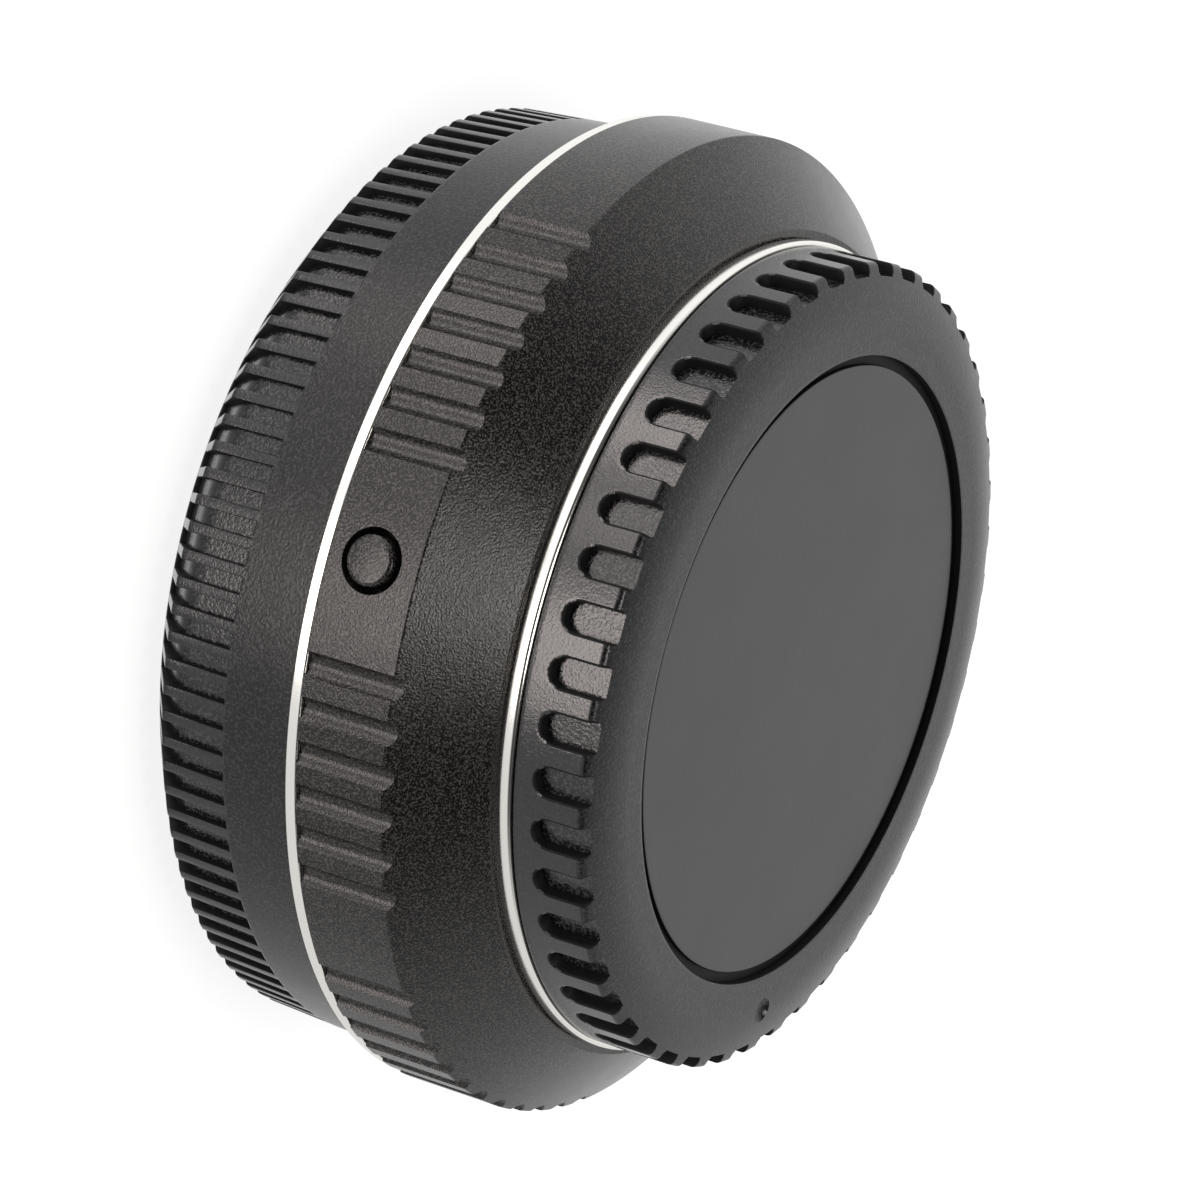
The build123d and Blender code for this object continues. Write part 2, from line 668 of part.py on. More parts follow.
# Camera contacts: a moulded block under the baffle's tube with a row of pads
camera_block_in_r = lower_tube_r - camera_block_width
pad_arc = (pad_count - 1) * pad_pitch
pad_spots = [spot(camera_block_in_r + pad_inset, camera_block_middle - pad_arc / 2 + step * pad_pitch)
             for step in range(pad_count)]
with BuildPart() as camera_contact_block:
    ring_arc(camera_block_in_r, lower_tube_r, camera_block_middle, camera_block_arc, z_camera_block,
             z_lower_tube)
    flat_head(camera_block_screw_spots, small_screw_head_r, small_screw_r, camera_block_height, 1,
              gap=screw_clearance, mode=Mode.SUBTRACT)
camera_contact_block.part.label = "camera_contact_block"
export_step(camera_contact_block.part, "parts/camera_contact_block.step")

with BuildPart() as camera_contact_pads:
    rods(pad_spots, pad_r, z_camera_block - pad_proud, z_camera_block)
camera_contact_pads.part.label = "camera_contact_pads"
export_step(camera_contact_pads.part, "parts/camera_contact_pads.step")

with BuildPart() as camera_block_screws:
    flat_head(camera_block_screw_spots, small_screw_head_r, small_screw_r,
              camera_block_height + camera_block_screw_depth, 1)
camera_block_screws.part.label = "camera_block_screws"
export_step(camera_block_screws.part, "parts/camera_block_screws.step")

# Circuit board under the web, with its chip, connectors and screws
with BuildPart() as circuit_board:
    ring_arc(board_in_r, board_out_r, (board_start + board_end) / 2, board_end - board_start, z_board,
             z_web_bottom)
    rods(board_screw_spots, pan_screw_r + screw_clearance, z_board, z_web_bottom, mode=Mode.SUBTRACT)
circuit_board.part.label = "circuit_board"
export_step(circuit_board.part, "parts/circuit_board.step")

with BuildPart() as board_screws:
    pan_head(board_screw_spots, pan_screw_head_r, pan_screw_head_height, pan_screw_r,
             board_thickness + pan_screw_depth)
board_screws.part.label = "board_screws"
export_step(board_screws.part, "parts/board_screws.step")

chip_size = board_out_r - board_in_r - 2 * chip_margin
with BuildPart() as controller_chip:
    with BuildSketch(Plane(origin=spot(board_middle_r, chip_angle, z_board), x_dir=spot(1, chip_angle),
                           z_dir=(0, 0, -1))):
        Rectangle(chip_size, chip_size)
    extrude(amount=chip_height)
controller_chip.part.label = "controller_chip"
export_step(controller_chip.part, "parts/controller_chip.step")

connector_arc = degrees(connector_width / board_middle_r)
connector_angles = {"front_connector": front_connector_angle, "rear_connector": camera_block_middle}
for connector_name, connector_angle in connector_angles.items():
    with BuildPart() as connector:
        ring_arc(connector_in_r, board_out_r - connector_margin, connector_angle, connector_arc,
                 z_board - connector_height, z_board)
    connector.part.label = connector_name
    export_step(connector.part, f"parts/{connector_name}.step")

# Flexible leads: a strip under the sprung contacts, and a band up the outside of the baffle's tube
z_flex_end = z_board - connector_height / 2
flex_end_r = connector_in_r - seat_gap
with BuildPart() as front_flex:
    ring_arc(flex_strip_in_r, flex_strip_in_r + flex_strip_width, contact_middle,
             contact_arc + contact_pitch / 4, flex_level - flex_thickness, flex_level)
    ring_arc(flex_strip_in_r, flex_drop_r, front_connector_angle, flex_arc,
             flex_level - flex_thickness, flex_level)
    ring_arc(flex_drop_r - flex_thickness, flex_drop_r, front_connector_angle, flex_arc,
             z_flex_end, flex_level)
    ring_arc(flex_drop_r - flex_thickness, flex_end_r, front_connector_angle, flex_arc,
             z_flex_end, z_flex_end + flex_thickness)
front_flex.part.label = "front_flex"
export_step(front_flex.part, "parts/front_flex.step")

rear_flex_r = lower_tube_r + flex_gap / 2 - flex_thickness
with BuildPart() as rear_flex:
    ring_arc(rear_flex_r, rear_flex_r + flex_thickness, camera_block_middle, flex_arc,
             z_camera_block + camera_block_rise, z_flex_end + flex_thickness)
    ring_arc(rear_flex_r, flex_end_r, camera_block_middle, flex_arc, z_flex_end, z_flex_end + flex_thickness)
rear_flex.part.label = "rear_flex"
export_step(rear_flex.part, "parts/rear_flex.step")

# Front cap: crowned face with a disc in a ring groove, slotted rim, and a skirt that locks under the lens tabs
rim_in_r = lens_land_r + rim_gap
rim_r = rim_in_r + rim_wall
crown_r = rim_r - rim_edge - crown_width
face_groove_r = crown_r - face_land
disc_r = face_groove_r - face_groove_width
z_disc = z_face - disc_drop
z_groove = z_face - face_groove_depth
z_cap_under = z_groove - front_cap_plate
z_crown_end = z_face - crown_drop
skirt_r = lens_throat_r - skirt_gap
dimple_ball_r = (dimple_r ** 2 + dimple_depth ** 2) / (2 * dimple_depth)
dimple_spot = spot(crown_r + dimple_inset, dimple_angle, z_face + dimple_ball_r - dimple_depth)
slot_angles = [index * 360.0 / rim_slots for index in range(rim_slots)]
with BuildPart() as front_cap:
    with BuildSketch(Plane.XZ):
        with BuildLine():
            Polyline(
                (0, z_disc),
                (disc_r, z_disc),
                (disc_r, z_groove),
                (face_groove_r, z_groove),
                (face_groove_r, z_face),
                (crown_r, z_face),
            )
            crown = TangentArc((crown_r, z_face), (rim_r - rim_edge, z_crown_end), tangent=(1, 0))
            corner = TangentArc(crown @ 1, (rim_r, z_crown_end - rim_edge_drop), tangent=crown % 1)
            Polyline(
                corner @ 1,
                (rim_r, z_front_cap),
                (rim_in_r, z_front_cap),
                (rim_in_r, z_cap_under),
                (skirt_r, z_cap_under),
                (skirt_r, z_skirt),
                (skirt_r - skirt_wall, z_skirt),
                (skirt_r - skirt_wall, z_cap_under),
                (0, z_cap_under),
                (0, z_disc),
            )
        make_face()
    revolve(axis=Axis.Z)
    for tab_angle in tab_angles:
        ring_arc(skirt_r - bond, ring_inner_r - front_tab_gap, tab_angle, front_tab_arc, z_skirt,
                 z_front_tab_top)
    with BuildSketch(*[outward_plane(rim_r - rim_slot_depth, angle, z_front_cap + rim_slot_land)
                       for angle in slot_angles]):
        with Locations((0, rim_slot_width / 2)):
            Circle(rim_slot_width / 2)
            Rectangle(rim_slot_width, front_cap_height, align=(Align.CENTER, Align.MIN))
    extrude(amount=rim_wall, mode=Mode.SUBTRACT)
    with Locations(dimple_spot):
        Sphere(dimple_ball_r, mode=Mode.SUBTRACT)
front_cap.part.label = "front_cap"
export_step(front_cap.part, "parts/front_cap.step")

# Rear cap: ribbed cup with a chamfered rear edge, and an inner ring with lugs that lock above the camera tabs
cap_kink_r = cap_top_r - cap_kink_inset
cap_edge_r = cap_top_r - cap_edge_inset
rear_ring_in_r = camera_tab_r + rear_ring_gap
rear_ring_r = rear_ring_in_r + rear_ring_wall
rib_pitch = 360.0 / rib_slots
rib_angles = [rib_slot_start + index * rib_pitch for index in range(rib_slots)]
rib_slot_width = rib_slot_share * cap_kink_r * radians(rib_pitch)
chamfer_run = (cap_kink_r - cap_edge_r) / cap_kink_height
rib_lip_rise = rib_slot_lip * chamfer_run / (1 + chamfer_run ** 2) ** 0.5
rib_rim_r = cap_edge_r + rib_slot_rim * chamfer_run
skirt_run = cap_kink_inset / (rear_cap_height - cap_kink_height)


def rib_floor_r(z):
    """Radius of a slot's floor at a height on the cap's side."""
    return cap_kink_r + (z - cap_kink_height) * skirt_run - rib_slot_depth


with BuildPart() as rear_cap:
    turned([
        (0, 0),
        (cap_edge_r, 0),
        (cap_kink_r, cap_kink_height),
        (cap_top_r, rear_cap_height),
        (moat_r, rear_cap_height),
        (moat_r, moat_floor),
        (rear_ring_r, moat_floor),
        (rear_ring_r, z_camera_land - rear_ring_headroom),
        (rear_ring_in_r, z_camera_land - rear_ring_headroom),
        (rear_ring_in_r, cap_floor),
        (0, cap_floor),
    ])
    for tab_angle in tab_angles:
        ring_arc(mount_cylinder_r + rear_lug_gap, rear_ring_in_r + bond, tab_angle, rear_lug_arc,
                 z_camera_tab + rear_lock_gap, z_camera_land - rear_lug_headroom)
    with BuildSketch(*[section_plane(angle) for angle in rib_angles]):
        with BuildLine():
            Polyline(
                (rib_floor_r(rib_slot_top), rib_slot_top),
                (rib_floor_r(rib_slot_kink), rib_slot_kink),
                (rib_rim_r - rib_lip_rise / chamfer_run, rib_slot_rim + rib_lip_rise),
                (rib_rim_r, rib_slot_rim),
                (cap_kink_r, -cap_kink_height),
                (cap_top_r + cap_wall, -cap_kink_height),
                (cap_top_r + cap_wall, rib_slot_top),
                close=True,
            )
        make_face()
    extrude(amount=rib_slot_width / 2, both=True, mode=Mode.SUBTRACT)
rear_cap.part.label = "rear_cap"
export_step(rear_cap.part, "parts/rear_cap.step")
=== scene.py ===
"""Dresses the lens mount adapter: a grooved black housing, two chrome bayonets and a cap on each side."""

import json
import logging
import math
from dataclasses import dataclass
from enum import Enum, IntEnum
from typing import Callable, Iterable, Sequence

import bmesh
import bpy
from bmesh.types import BMEdge, BMesh, BMFace, BMVert
from mathutils import Matrix, Vector


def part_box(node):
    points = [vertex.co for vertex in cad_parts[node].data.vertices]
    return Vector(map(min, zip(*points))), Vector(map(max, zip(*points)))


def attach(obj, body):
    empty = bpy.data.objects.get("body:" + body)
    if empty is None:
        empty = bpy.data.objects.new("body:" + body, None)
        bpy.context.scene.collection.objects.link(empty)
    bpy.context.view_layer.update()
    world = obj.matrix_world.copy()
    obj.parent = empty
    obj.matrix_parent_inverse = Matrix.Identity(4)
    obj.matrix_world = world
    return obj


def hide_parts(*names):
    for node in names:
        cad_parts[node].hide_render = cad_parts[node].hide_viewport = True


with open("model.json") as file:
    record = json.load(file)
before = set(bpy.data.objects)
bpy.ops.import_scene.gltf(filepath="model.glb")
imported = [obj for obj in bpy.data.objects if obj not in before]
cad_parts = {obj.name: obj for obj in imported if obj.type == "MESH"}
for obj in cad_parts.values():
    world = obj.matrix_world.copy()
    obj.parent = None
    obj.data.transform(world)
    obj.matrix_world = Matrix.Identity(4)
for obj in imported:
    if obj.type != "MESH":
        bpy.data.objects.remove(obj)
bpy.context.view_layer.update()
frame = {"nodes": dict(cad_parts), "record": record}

log = logging.getLogger("adapter")
MM = 0.001
# Millimetres within which points merge, a point lies on a drawn line, and a face lies on a wall
WELD = 0.004
TOUCH = 0.02
CLOSE = 0.05
# Millimetres by which a cutter stands out of what it cuts
OVERCUT = 1.0
# Steps of a full turn for small holes and for the button
HOLE_STEPS = 24
BUTTON_STEPS = 64
SHARP_ANGLE = 32.0
# Inputs of a mix node that take its two colours
MIX_COLOURS = (6, 7)

Point = tuple[float, float]


# Measures and outlines


def linear(colour: str) -> tuple[float, float, float, float]:
    """Turns an sRGB hex colour into linear red, green, blue and alpha.

    Args:
        colour: Six hex digits after a hash sign.

    Returns:
        Linear components, with an alpha of 1.
    """
    parts = [int(colour[start:start + 2], 16) / 255 for start in (1, 3, 5)]
    shares = [part / 12.92 if part <= 0.04045 else ((part + 0.055) / 1.055) ** 2.4 for part in parts]
    return (*shares, 1.0)


def node_span(node: str) -> tuple[float, float, float]:
    """Measures a CAD node about the optical axis.

    Args:
        node: Name of the node.

    Returns:
        Lowest height, highest height and largest radius, in millimetres.
    """
    low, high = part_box(node)
    return low.z / MM, high.z / MM, high.x / MM


def polar(point: Vector) -> tuple[float, float, float]:
    """Places a point about the optical axis.

    Args:
        point: Point in millimetres.

    Returns:
        Radius, angle in degrees from the button, and height.
    """
    return math.hypot(point.x, point.y), math.degrees(math.atan2(point.x, -point.y)), point.z


def off_centre(angle: float, pitch: float, start: float = 0.0) -> float:
    """Measures how far an angle lies from the nearest of evenly spaced middles.

    Args:
        angle: Angle in degrees.
        pitch: Degrees between middles.
        start: Angle of one of the middles.

    Returns:
        Degrees from the nearest middle, with a sign.
    """
    return (angle - start + pitch / 2) % pitch - pitch / 2


def spot(radius: float, angle: float, height: float) -> Vector:
    """Gives the point at a radius, an angle from the button and a height."""
    return Vector((radius * math.sin(math.radians(angle)), -radius * math.cos(math.radians(angle)), height))


@dataclass(frozen=True)
class Corner:
    """A corner of a turned outline, in millimetres."""

    radius: float
    height: float
    fillet: float = 0.0


def rounded(corners: Sequence[Corner], steps: int = 3) -> list[Point]:
    """Turns corners into outline points, with an arc at each corner that has a fillet.

    Args:
        corners: Corners in order along the outline.
        steps: Straight steps in each arc.

    Returns:
        Radius and height of each outline point.
    """
    places = [Vector((corner.radius, corner.height)) for corner in corners]
    points: list[Point] = []
    for index, (corner, here) in enumerate(zip(corners, places)):
        if corner.fillet == 0 or index in (0, len(corners) - 1):
            points.append(here.to_tuple())
            continue
        back = (places[index - 1] - here).normalized()
        ahead = (places[index + 1] - here).normalized()
        half = back.angle(ahead) / 2
        middle = here + (back + ahead).normalized() * corner.fillet / math.sin(half)
        first = here + back * corner.fillet / math.tan(half) - middle
        last = here + ahead * corner.fillet / math.tan(half) - middle
        arc = [middle + first.slerp(last, step / steps) * corner.fillet for step in range(steps + 1)]
        points += [place.to_tuple() for place in arc]
    return points


def tangent_arc(start: Point, heading: Point, end: Point, steps: int) -> tuple[list[Point], Point]:
    """Draws the arc that leaves a point in a given direction and ends at another point.

    Args:
        start: First point, which isn't repeated in the result.
        heading: Unit direction in which the arc leaves it.
        end: Last point.
        steps: Straight steps in the arc.

    Returns:
        The arc's further points, and the direction at its end.
    """
    begin, way, across = Vector(start), Vector(heading), Vector(end) - Vector(start)
    normal = Vector((way.y, -way.x))
    size = across.length_squared / (2 * normal.dot(across))
    middle = begin + normal * size
    turn = 2 * math.atan2(normal.dot(across), way.dot(across))
    arm = begin - middle
    parts = [Matrix.Rotation(-turn * step / steps, 2) for step in range(1, steps + 1)]
    points = [(middle + part @ arm).to_tuple() for part in parts]
    return points, (Matrix.Rotation(-turn, 2) @ way).to_tuple()


# Mesh steps shared by the pieces


def grown_parts(geometry: Iterable[object]) -> tuple[list[BMVert], list[BMEdge]]:
    """Sorts what an extrusion made.

    Args:
        geometry: New vertices, edges and faces.

    Returns:
        The new vertices, and the new edges that lie wholly between them.
    """
    items = list(geometry)
    verts = [item for item in items if isinstance(item, BMVert)]
    own = set(verts)
    return verts, [item for item in items if isinstance(item, BMEdge) and own.issuperset(item.verts)]


def turn_about_axis(mesh: BMesh, verts: Sequence[BMVert], degrees: float) -> None:
    """Turns vertices about the optical axis."""
    bmesh.ops.rotate(mesh, cent=(0, 0, 0), matrix=Matrix.Rotation(math.radians(degrees), 3, "Z"), verts=verts)


def sweep(mesh: BMesh, points: Sequence[Point], angles: Sequence[float]) -> None:
    """Sweeps an outline about the optical axis, with a row of edges at each angle.

    Args:
        mesh: Mesh that gets the surface.
        points: Radius and height of each outline point.
        angles: Angles from the button at which the outline stops, in degrees.
    """
    verts = [mesh.verts.new((0, -radius, height)) for radius, height in points]
    edges = [mesh.edges.new(pair) for pair in zip(verts, verts[1:])]
    turn_about_axis(mesh, verts, angles[0])
    for start, stop in zip(angles, angles[1:]):
        verts, edges = grown_parts(bmesh.ops.extrude_edge_only(mesh, edges=edges)["geom"])
        turn_about_axis(mesh, verts, stop - start)


def even_angles(count: int) -> list[float]:
    """Gives the angles of a full turn in even steps, with both ends."""
    return [360 * step / count for step in range(count + 1)]


def weld(mesh: BMesh) -> None:
    """Merges what coincides and turns all faces outwards."""
    bmesh.ops.remove_doubles(mesh, verts=mesh.verts, dist=WELD)
    bmesh.ops.dissolve_degenerate(mesh, dist=WELD / 4, edges=mesh.edges)
    bmesh.ops.recalc_face_normals(mesh, faces=mesh.faces)


def turned(points: Sequence[Point], angles: Sequence[float]) -> BMesh:
    """Turns an outline into a closed mesh of its own.

    Args:
        points: Radius and height of each outline point.
        angles: Angles of a full turn, with both ends.

    Returns:
        Mesh in millimetres.
    """
    mesh = bmesh.new()
    sweep(mesh, points, angles)
    weld(mesh)
    return mesh


def push_faces(mesh: BMesh, faces: Sequence[BMFace], move: Callable[[Vector], Vector]) -> None:
    """Extrudes a region of faces and moves its copy.

    Args:
        mesh: Mesh that holds the faces.
        faces: Faces of the region, which may be in several islands.
        move: Gives the new place of each vertex of the region.
    """
    edges = dict.fromkeys(edge for face in faces for edge in face.edges)
    verts, _ = grown_parts(bmesh.ops.extrude_face_region(mesh, geom=[*faces, *edges])["geom"])
    for vert in verts:
        vert.co = move(vert.co)


def soften(mesh: BMesh, wanted: Callable[[BMEdge], bool], width: float, segments: int = 2) -> None:
    """Rounds the sharp outer edges that a test picks.

    Args:
        mesh: Mesh to change.
        wanted: Says whether a sharp convex edge is rounded.
        width: Width of the rounding, in millimetres.
        segments: Faces across it.
    """
    limit = math.radians(SHARP_ANGLE)
    edges = [edge for edge in mesh.edges if edge.is_manifold and edge.is_convex
             and edge.calc_face_angle() > limit and wanted(edge)]
    bmesh.ops.bevel(mesh, geom=edges, offset=width, offset_type="OFFSET", affect="EDGES", segments=segments,
                    profile=0.5, material=-1, clamp_overlap=False)


def drill(mesh: BMesh, spots: Iterable[Vector], radius: float, low: float, high: float, head: float = 0.0,
          head_up: bool = True) -> None:
    """Adds upright round cutters, with a countersink where the hole takes a flat head.

    Args:
        mesh: Mesh of the cutters.
        spots: Places of the holes.
        radius: Radius of the hole.
        low: Its lowest height.
        high: Its highest height.
        head: Radius of the countersink at its mouth, or 0.
        head_up: Whether the mouth is the upper end.
    """
    for place in spots:
        outline = [(0.0, low), (radius, low), (radius, high), (0.0, high)]
        if head and head_up:
            outline[2:3] = [(radius, high - head + radius), (head, high)]
        elif head:
            outline[1:2] = [(head, low), (radius, low + head - radius)]
        before = set(mesh.verts)
        sweep(mesh, outline, even_angles(HOLE_STEPS))
        made = [vert for vert in mesh.verts if vert not in before]
        bmesh.ops.translate(mesh, vec=(place.x, place.y, 0), verts=made)


def turn_about_button(section: Sequence[Point], height: float) -> BMesh:
    """Turns a section about the button's axis, which runs along Y.

    Args:
        section: Radius and place along Y of each point.
        height: Height of the axis.

    Returns:
        Mesh in millimetres.
    """
    mesh = bmesh.new()
    verts = [mesh.verts.new((radius, along, height)) for radius, along in section]
    edges = [mesh.edges.new(pair) for pair in zip(verts, verts[1:])]
    bmesh.ops.spin(mesh, geom=verts + edges, cent=(0, 0, height), axis=(0, 1, 0), angle=2 * math.pi,
                   steps=BUTTON_STEPS, use_merge=True)
    weld(mesh)
    return mesh


def add_box(mesh: BMesh, size: Sequence[float], middle: Sequence[float]) -> None:
    """Adds a box of a given size about its middle."""
    made = bmesh.ops.create_cube(mesh, size=1.0)["verts"]
    bmesh.ops.scale(mesh, vec=size, verts=made)
    bmesh.ops.translate(mesh, vec=middle, verts=made)


def as_object(mesh: BMesh, name: str, finishes: Sequence["Grained | TurnedMetal"] = ()) -> bpy.types.Object:
    """Turns a mesh in millimetres into a scene object in metres.

    Args:
        mesh: Finished mesh, which is freed.
        name: Name of the object.
        finishes: Finishes in the order of the mesh's face indices.

    Returns:
        The object, at the origin and unturned.
    """
    bmesh.ops.scale(mesh, vec=(MM, MM, MM), verts=mesh.verts)
    data = bpy.data.meshes.new(name)
    mesh.to_mesh(data)
    mesh.free()
    for finish in finishes:
        data.materials.append(finish.material())
    made = bpy.data.objects.new(name, data)
    bpy.context.scene.collection.objects.link(made)
    return made


class Carving(Enum):
    """How a second solid changes a piece."""

    CUT = "DIFFERENCE"
    JOIN = "UNION"


def carve(piece: bpy.types.Object, tool_mesh: BMesh, way: Carving = Carving.CUT) -> None:
    """Cuts a solid out of a piece, or joins it on.

    Args:
        piece: Object to change.
        tool_mesh: The other solid, in millimetres.
        way: Cut or join.
    """
    weld(tool_mesh)
    tool = as_object(tool_mesh, "carving_tool")
    modifier = piece.modifiers.new("carve", "BOOLEAN")
    modifier.operation = way.value
    modifier.solver = "EXACT"
    modifier.object = tool
    carved = bpy.data.meshes.new_from_object(piece.evaluated_get(bpy.context.evaluated_depsgraph_get()))
    piece.modifiers.clear()
    piece.data = carved
    bpy.data.objects.remove(tool)


def dress(piece: bpy.types.Object, body: str, node: str) -> None:
    """Shades a finished piece, ties it to its body and lets it stand for its CAD node.

    Args:
        piece: Finished object.
        body: CAD body that it moves with.
        node: CAD node that it replaces.
    """
    piece.data.shade_smooth()
    piece.data.set_sharp_from_angle(angle=math.radians(SHARP_ANGLE))
    normals = piece.modifiers.new("even_normals", "WEIGHTED_NORMAL")
    normals.keep_sharp = True
    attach(piece, body)
    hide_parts(node)
    log.info("%s: %d faces, rides %s", piece.name, len(piece.data.polygons), body)


# Finishes


def add_node(tree: bpy.types.NodeTree, kind: str, settings: dict[str, object] | None = None,
             feeds: Sequence[object] = (), **links: object) -> bpy.types.Node:
    """Adds a node with its settings and its links.

    Args:
        tree: Node tree that gets the node.
        kind: Type of the node.
        settings: Values by property or input name.
        feeds: Sockets to link to the first inputs in order, with None where one stays free.
        links: Sockets to link, by input name with underscores for spaces.

    Returns:
        The new node.
    """
    node = tree.nodes.new(kind)
    for key, value in (settings or {}).items():
        if key in node.inputs:
            node.inputs[key].default_value = value
        else:
            setattr(node, key, value)
    for place, socket in enumerate(feeds):
        if socket is not None:
            tree.links.new(socket, node.inputs[place])
    for key, socket in links.items():
        tree.links.new(socket, node.inputs[key.replace("_", " ")])
    return node


def blank_material(name: str) -> tuple[bpy.types.Material, bpy.types.NodeTree]:
    """Makes an empty node material.

    Args:
        name: Name of the material.

    Returns:
        The material and its node tree.
    """
    material = bpy.data.materials.new(name)
    material.use_nodes = True
    material.node_tree.nodes.clear()
    return material, material.node_tree


@dataclass(frozen=True)
class Grained:
    """A dark surface whose grain breaks up its reflections, such as moulded ABS or blasted aluminium."""

    name: str
    colour: str
    roughness: float
    specular: float
    grain: float
    height: float
    # Colour of the flecks on the grain's tops: part grain tone, part painted glints
    fleck_and_glint: str
    clouding: float = 0.02
    cloud_size: float = 6.0
    cloud_low: float = 0.3
    cloud_high: float = 0.7
    detail: float = 2.0
    grit: float = 0.6
    fleck_and_glint_low: float = 0.48
    fleck_and_glint_high: float = 0.62

    def material(self) -> bpy.types.Material:
        """Builds the material.

        Returns:
            A dielectric with a bumpy grain, slightly uneven gloss and lighter flecks on the grain's tops.
        """
        material, tree = blank_material(self.name)
        place = add_node(tree, "ShaderNodeTexCoord").outputs["Object"]
        grain = add_node(tree, "ShaderNodeTexNoise", {"Scale": 1 / (self.grain * MM), "Detail": self.detail,
                                                      "Roughness": self.grit}, Vector=place)
        cloud = add_node(tree, "ShaderNodeTexNoise", {"Scale": 1 / (self.cloud_size * MM), "Detail": 1.0},
                         Vector=place)
        gloss = add_node(tree, "ShaderNodeMapRange", {"From Min": self.cloud_low, "From Max": self.cloud_high,
                                                      "To Min": self.roughness - self.clouding,
                                                      "To Max": self.roughness + self.clouding},
                         Value=cloud.outputs["Fac"])
        # Mask of the lighter flecks on the grain's tops, which are part grain tone and part painted glints
        fleck_and_glint_mask = add_node(tree, "ShaderNodeMapRange", {"From Min": self.fleck_and_glint_low,
                                                      "From Max": self.fleck_and_glint_high},
                         Value=grain.outputs["Fac"])
        tint = add_node(tree, "ShaderNodeMix", {"data_type": "RGBA"}, [fleck_and_glint_mask.outputs["Result"]])
        for index, colour in zip(MIX_COLOURS, (self.colour, self.fleck_and_glint)):
            tint.inputs[index].default_value = linear(colour)
        bump = add_node(tree, "ShaderNodeBump", {"Strength": 1.0, "Distance": self.height * MM},
                        Height=grain.outputs["Fac"])
        shader = add_node(tree, "ShaderNodeBsdfPrincipled", {"Specular IOR Level": self.specular},
                          Base_Color=tint.outputs[2], Roughness=gloss.outputs["Result"],
                          Normal=bump.outputs["Normal"])
        add_node(tree, "ShaderNodeOutputMaterial", Surface=shader.outputs["BSDF"])
        return material


@dataclass(frozen=True)
class TurnedMetal:
    """Plated or plain metal off a lathe, with faint lines round the axis that smear its reflections."""

    name: str
    colour: str
    roughness: float
    line: float = 0.12
    depth: float = 0.0006
    stretch: float = 0.02
    smear: float = 0.2

    def material(self) -> bpy.types.Material:
        """Builds the material.

        Returns:
            A metal with fine turning lines. Real ones are finer, and are drawn as coarse as the render shows.
        """
        material, tree = blank_material(self.name)
        place = add_node(tree, "ShaderNodeTexCoord").outputs["Object"]
        drawn = add_node(tree, "ShaderNodeMapping", {"Scale": (self.stretch, self.stretch, 1.0)},
                         Vector=place)
        lines = add_node(tree, "ShaderNodeTexNoise", {"Scale": 1 / (self.line * MM), "Detail": 2.0},
                         Vector=drawn.outputs["Vector"])
        gloss = add_node(tree, "ShaderNodeMapRange", {"To Min": self.roughness * (1 - self.smear),
                                                      "To Max": self.roughness * (1 + self.smear)},
                         Value=lines.outputs["Fac"])
        bump = add_node(tree, "ShaderNodeBump", {"Strength": 1.0, "Distance": self.depth * MM},
                        Height=lines.outputs["Fac"])
        shader = add_node(tree, "ShaderNodeBsdfPrincipled", {"Base Color": linear(self.colour),
                                                             "Metallic": 1.0},
                          Roughness=gloss.outputs["Result"], Normal=bump.outputs["Normal"])
        add_node(tree, "ShaderNodeOutputMaterial", Surface=shader.outputs["BSDF"])
        return material


# Bead blasted, black anodised aluminium: a dense, dry black whose fine pits glitter where a lamp reflects.
# The real pits are finer, and are drawn as coarse as the render shows.
# Its light flecks on the grain's tops are painted glints that stand in for that glitter.
HOUSING_FINISH = Grained("blasted_anodised_aluminium", "#0b0a0a", 0.22, 0.41, 0.17, 0.03, "#4a4745",
                         detail=1.0)
# Moulded ABS with a leather-like etched grain, dull grey where it faces the white room.
CAP_GRAIN = Grained("etched_black_abs", "#101011", 0.25, 0.44, 0.24, 0.03, "#343435")
# The same ABS from a finer etched part of the mould, a shade lighter for its haze.
CAP_DISC = Grained("fine_etched_black_abs", "#1e1e20", 0.3, 0.58, 0.26, 0.015, "#222224")
# Plain moulded ABS with a satin skin, which shows the lamps as soft warm bands.
CAP_SATIN = Grained("satin_black_abs", "#0e0e0f", 0.15, 0.74, 0.2, 0.026, "#29292a")
# Spark-eroded slot floors in the ABS: glossy, with small pits that cut dark dots into the reflections.
CAP_FLOOR = Grained("pitted_black_abs", "#0c0c0d", 0.16, 0.66, 0.26, 0.035, "#434344")
# Painted shade: a dull black copy of the ABS that shows no lamp, on the slot walls, the front groove and the
# rear slots' low floors.
CAP_PAINTED_SHADE = Grained("painted_shade_black_abs", "#111112", 0.6, 0.2, 0.3, 0.01, "#151516")
# Chrome plated brass, turned: near white, with a slightly warm cast.
CHROME = TurnedMetal("turned_chrome", "#f3f1ec", 0.16)
# Plain bright steel of screws, pins and springs.
STEEL = TurnedMetal("bright_steel", "#b9b9bc", 0.28)
# Gold plated brass of the contacts.
GOLD = TurnedMetal("gold_plate", "#e3bd6a", 0.22)
# Dull black light trap.
BAFFLE = Grained("matt_black_nylon", "#141414", 0.75, 0.3, 0.25, 0.01, "#1a1a1a")
# Solder mask over glass cloth, green with a faint weave.
BOARD = Grained("green_solder_mask", "#1d4a30", 0.35, 0.5, 0.5, 0.006, "#2a5c3e")
# Moulded nylon connector shells.
CONNECTOR = Grained("ivory_nylon", "#d8cfb4", 0.5, 0.5, 0.4, 0.006, "#e2dac2")
# Polyimide film with copper under it.
FLEX = Grained("amber_polyimide", "#9c5a1c", 0.35, 0.5, 0.6, 0.004, "#ad6a28")

HIDDEN_FINISHES = {"steel": STEEL, "baffle_black": BAFFLE, "contact_gold": GOLD, "board_green": BOARD,
                   "connector_ivory": CONNECTOR, "flex_amber": FLEX}


# Pieces


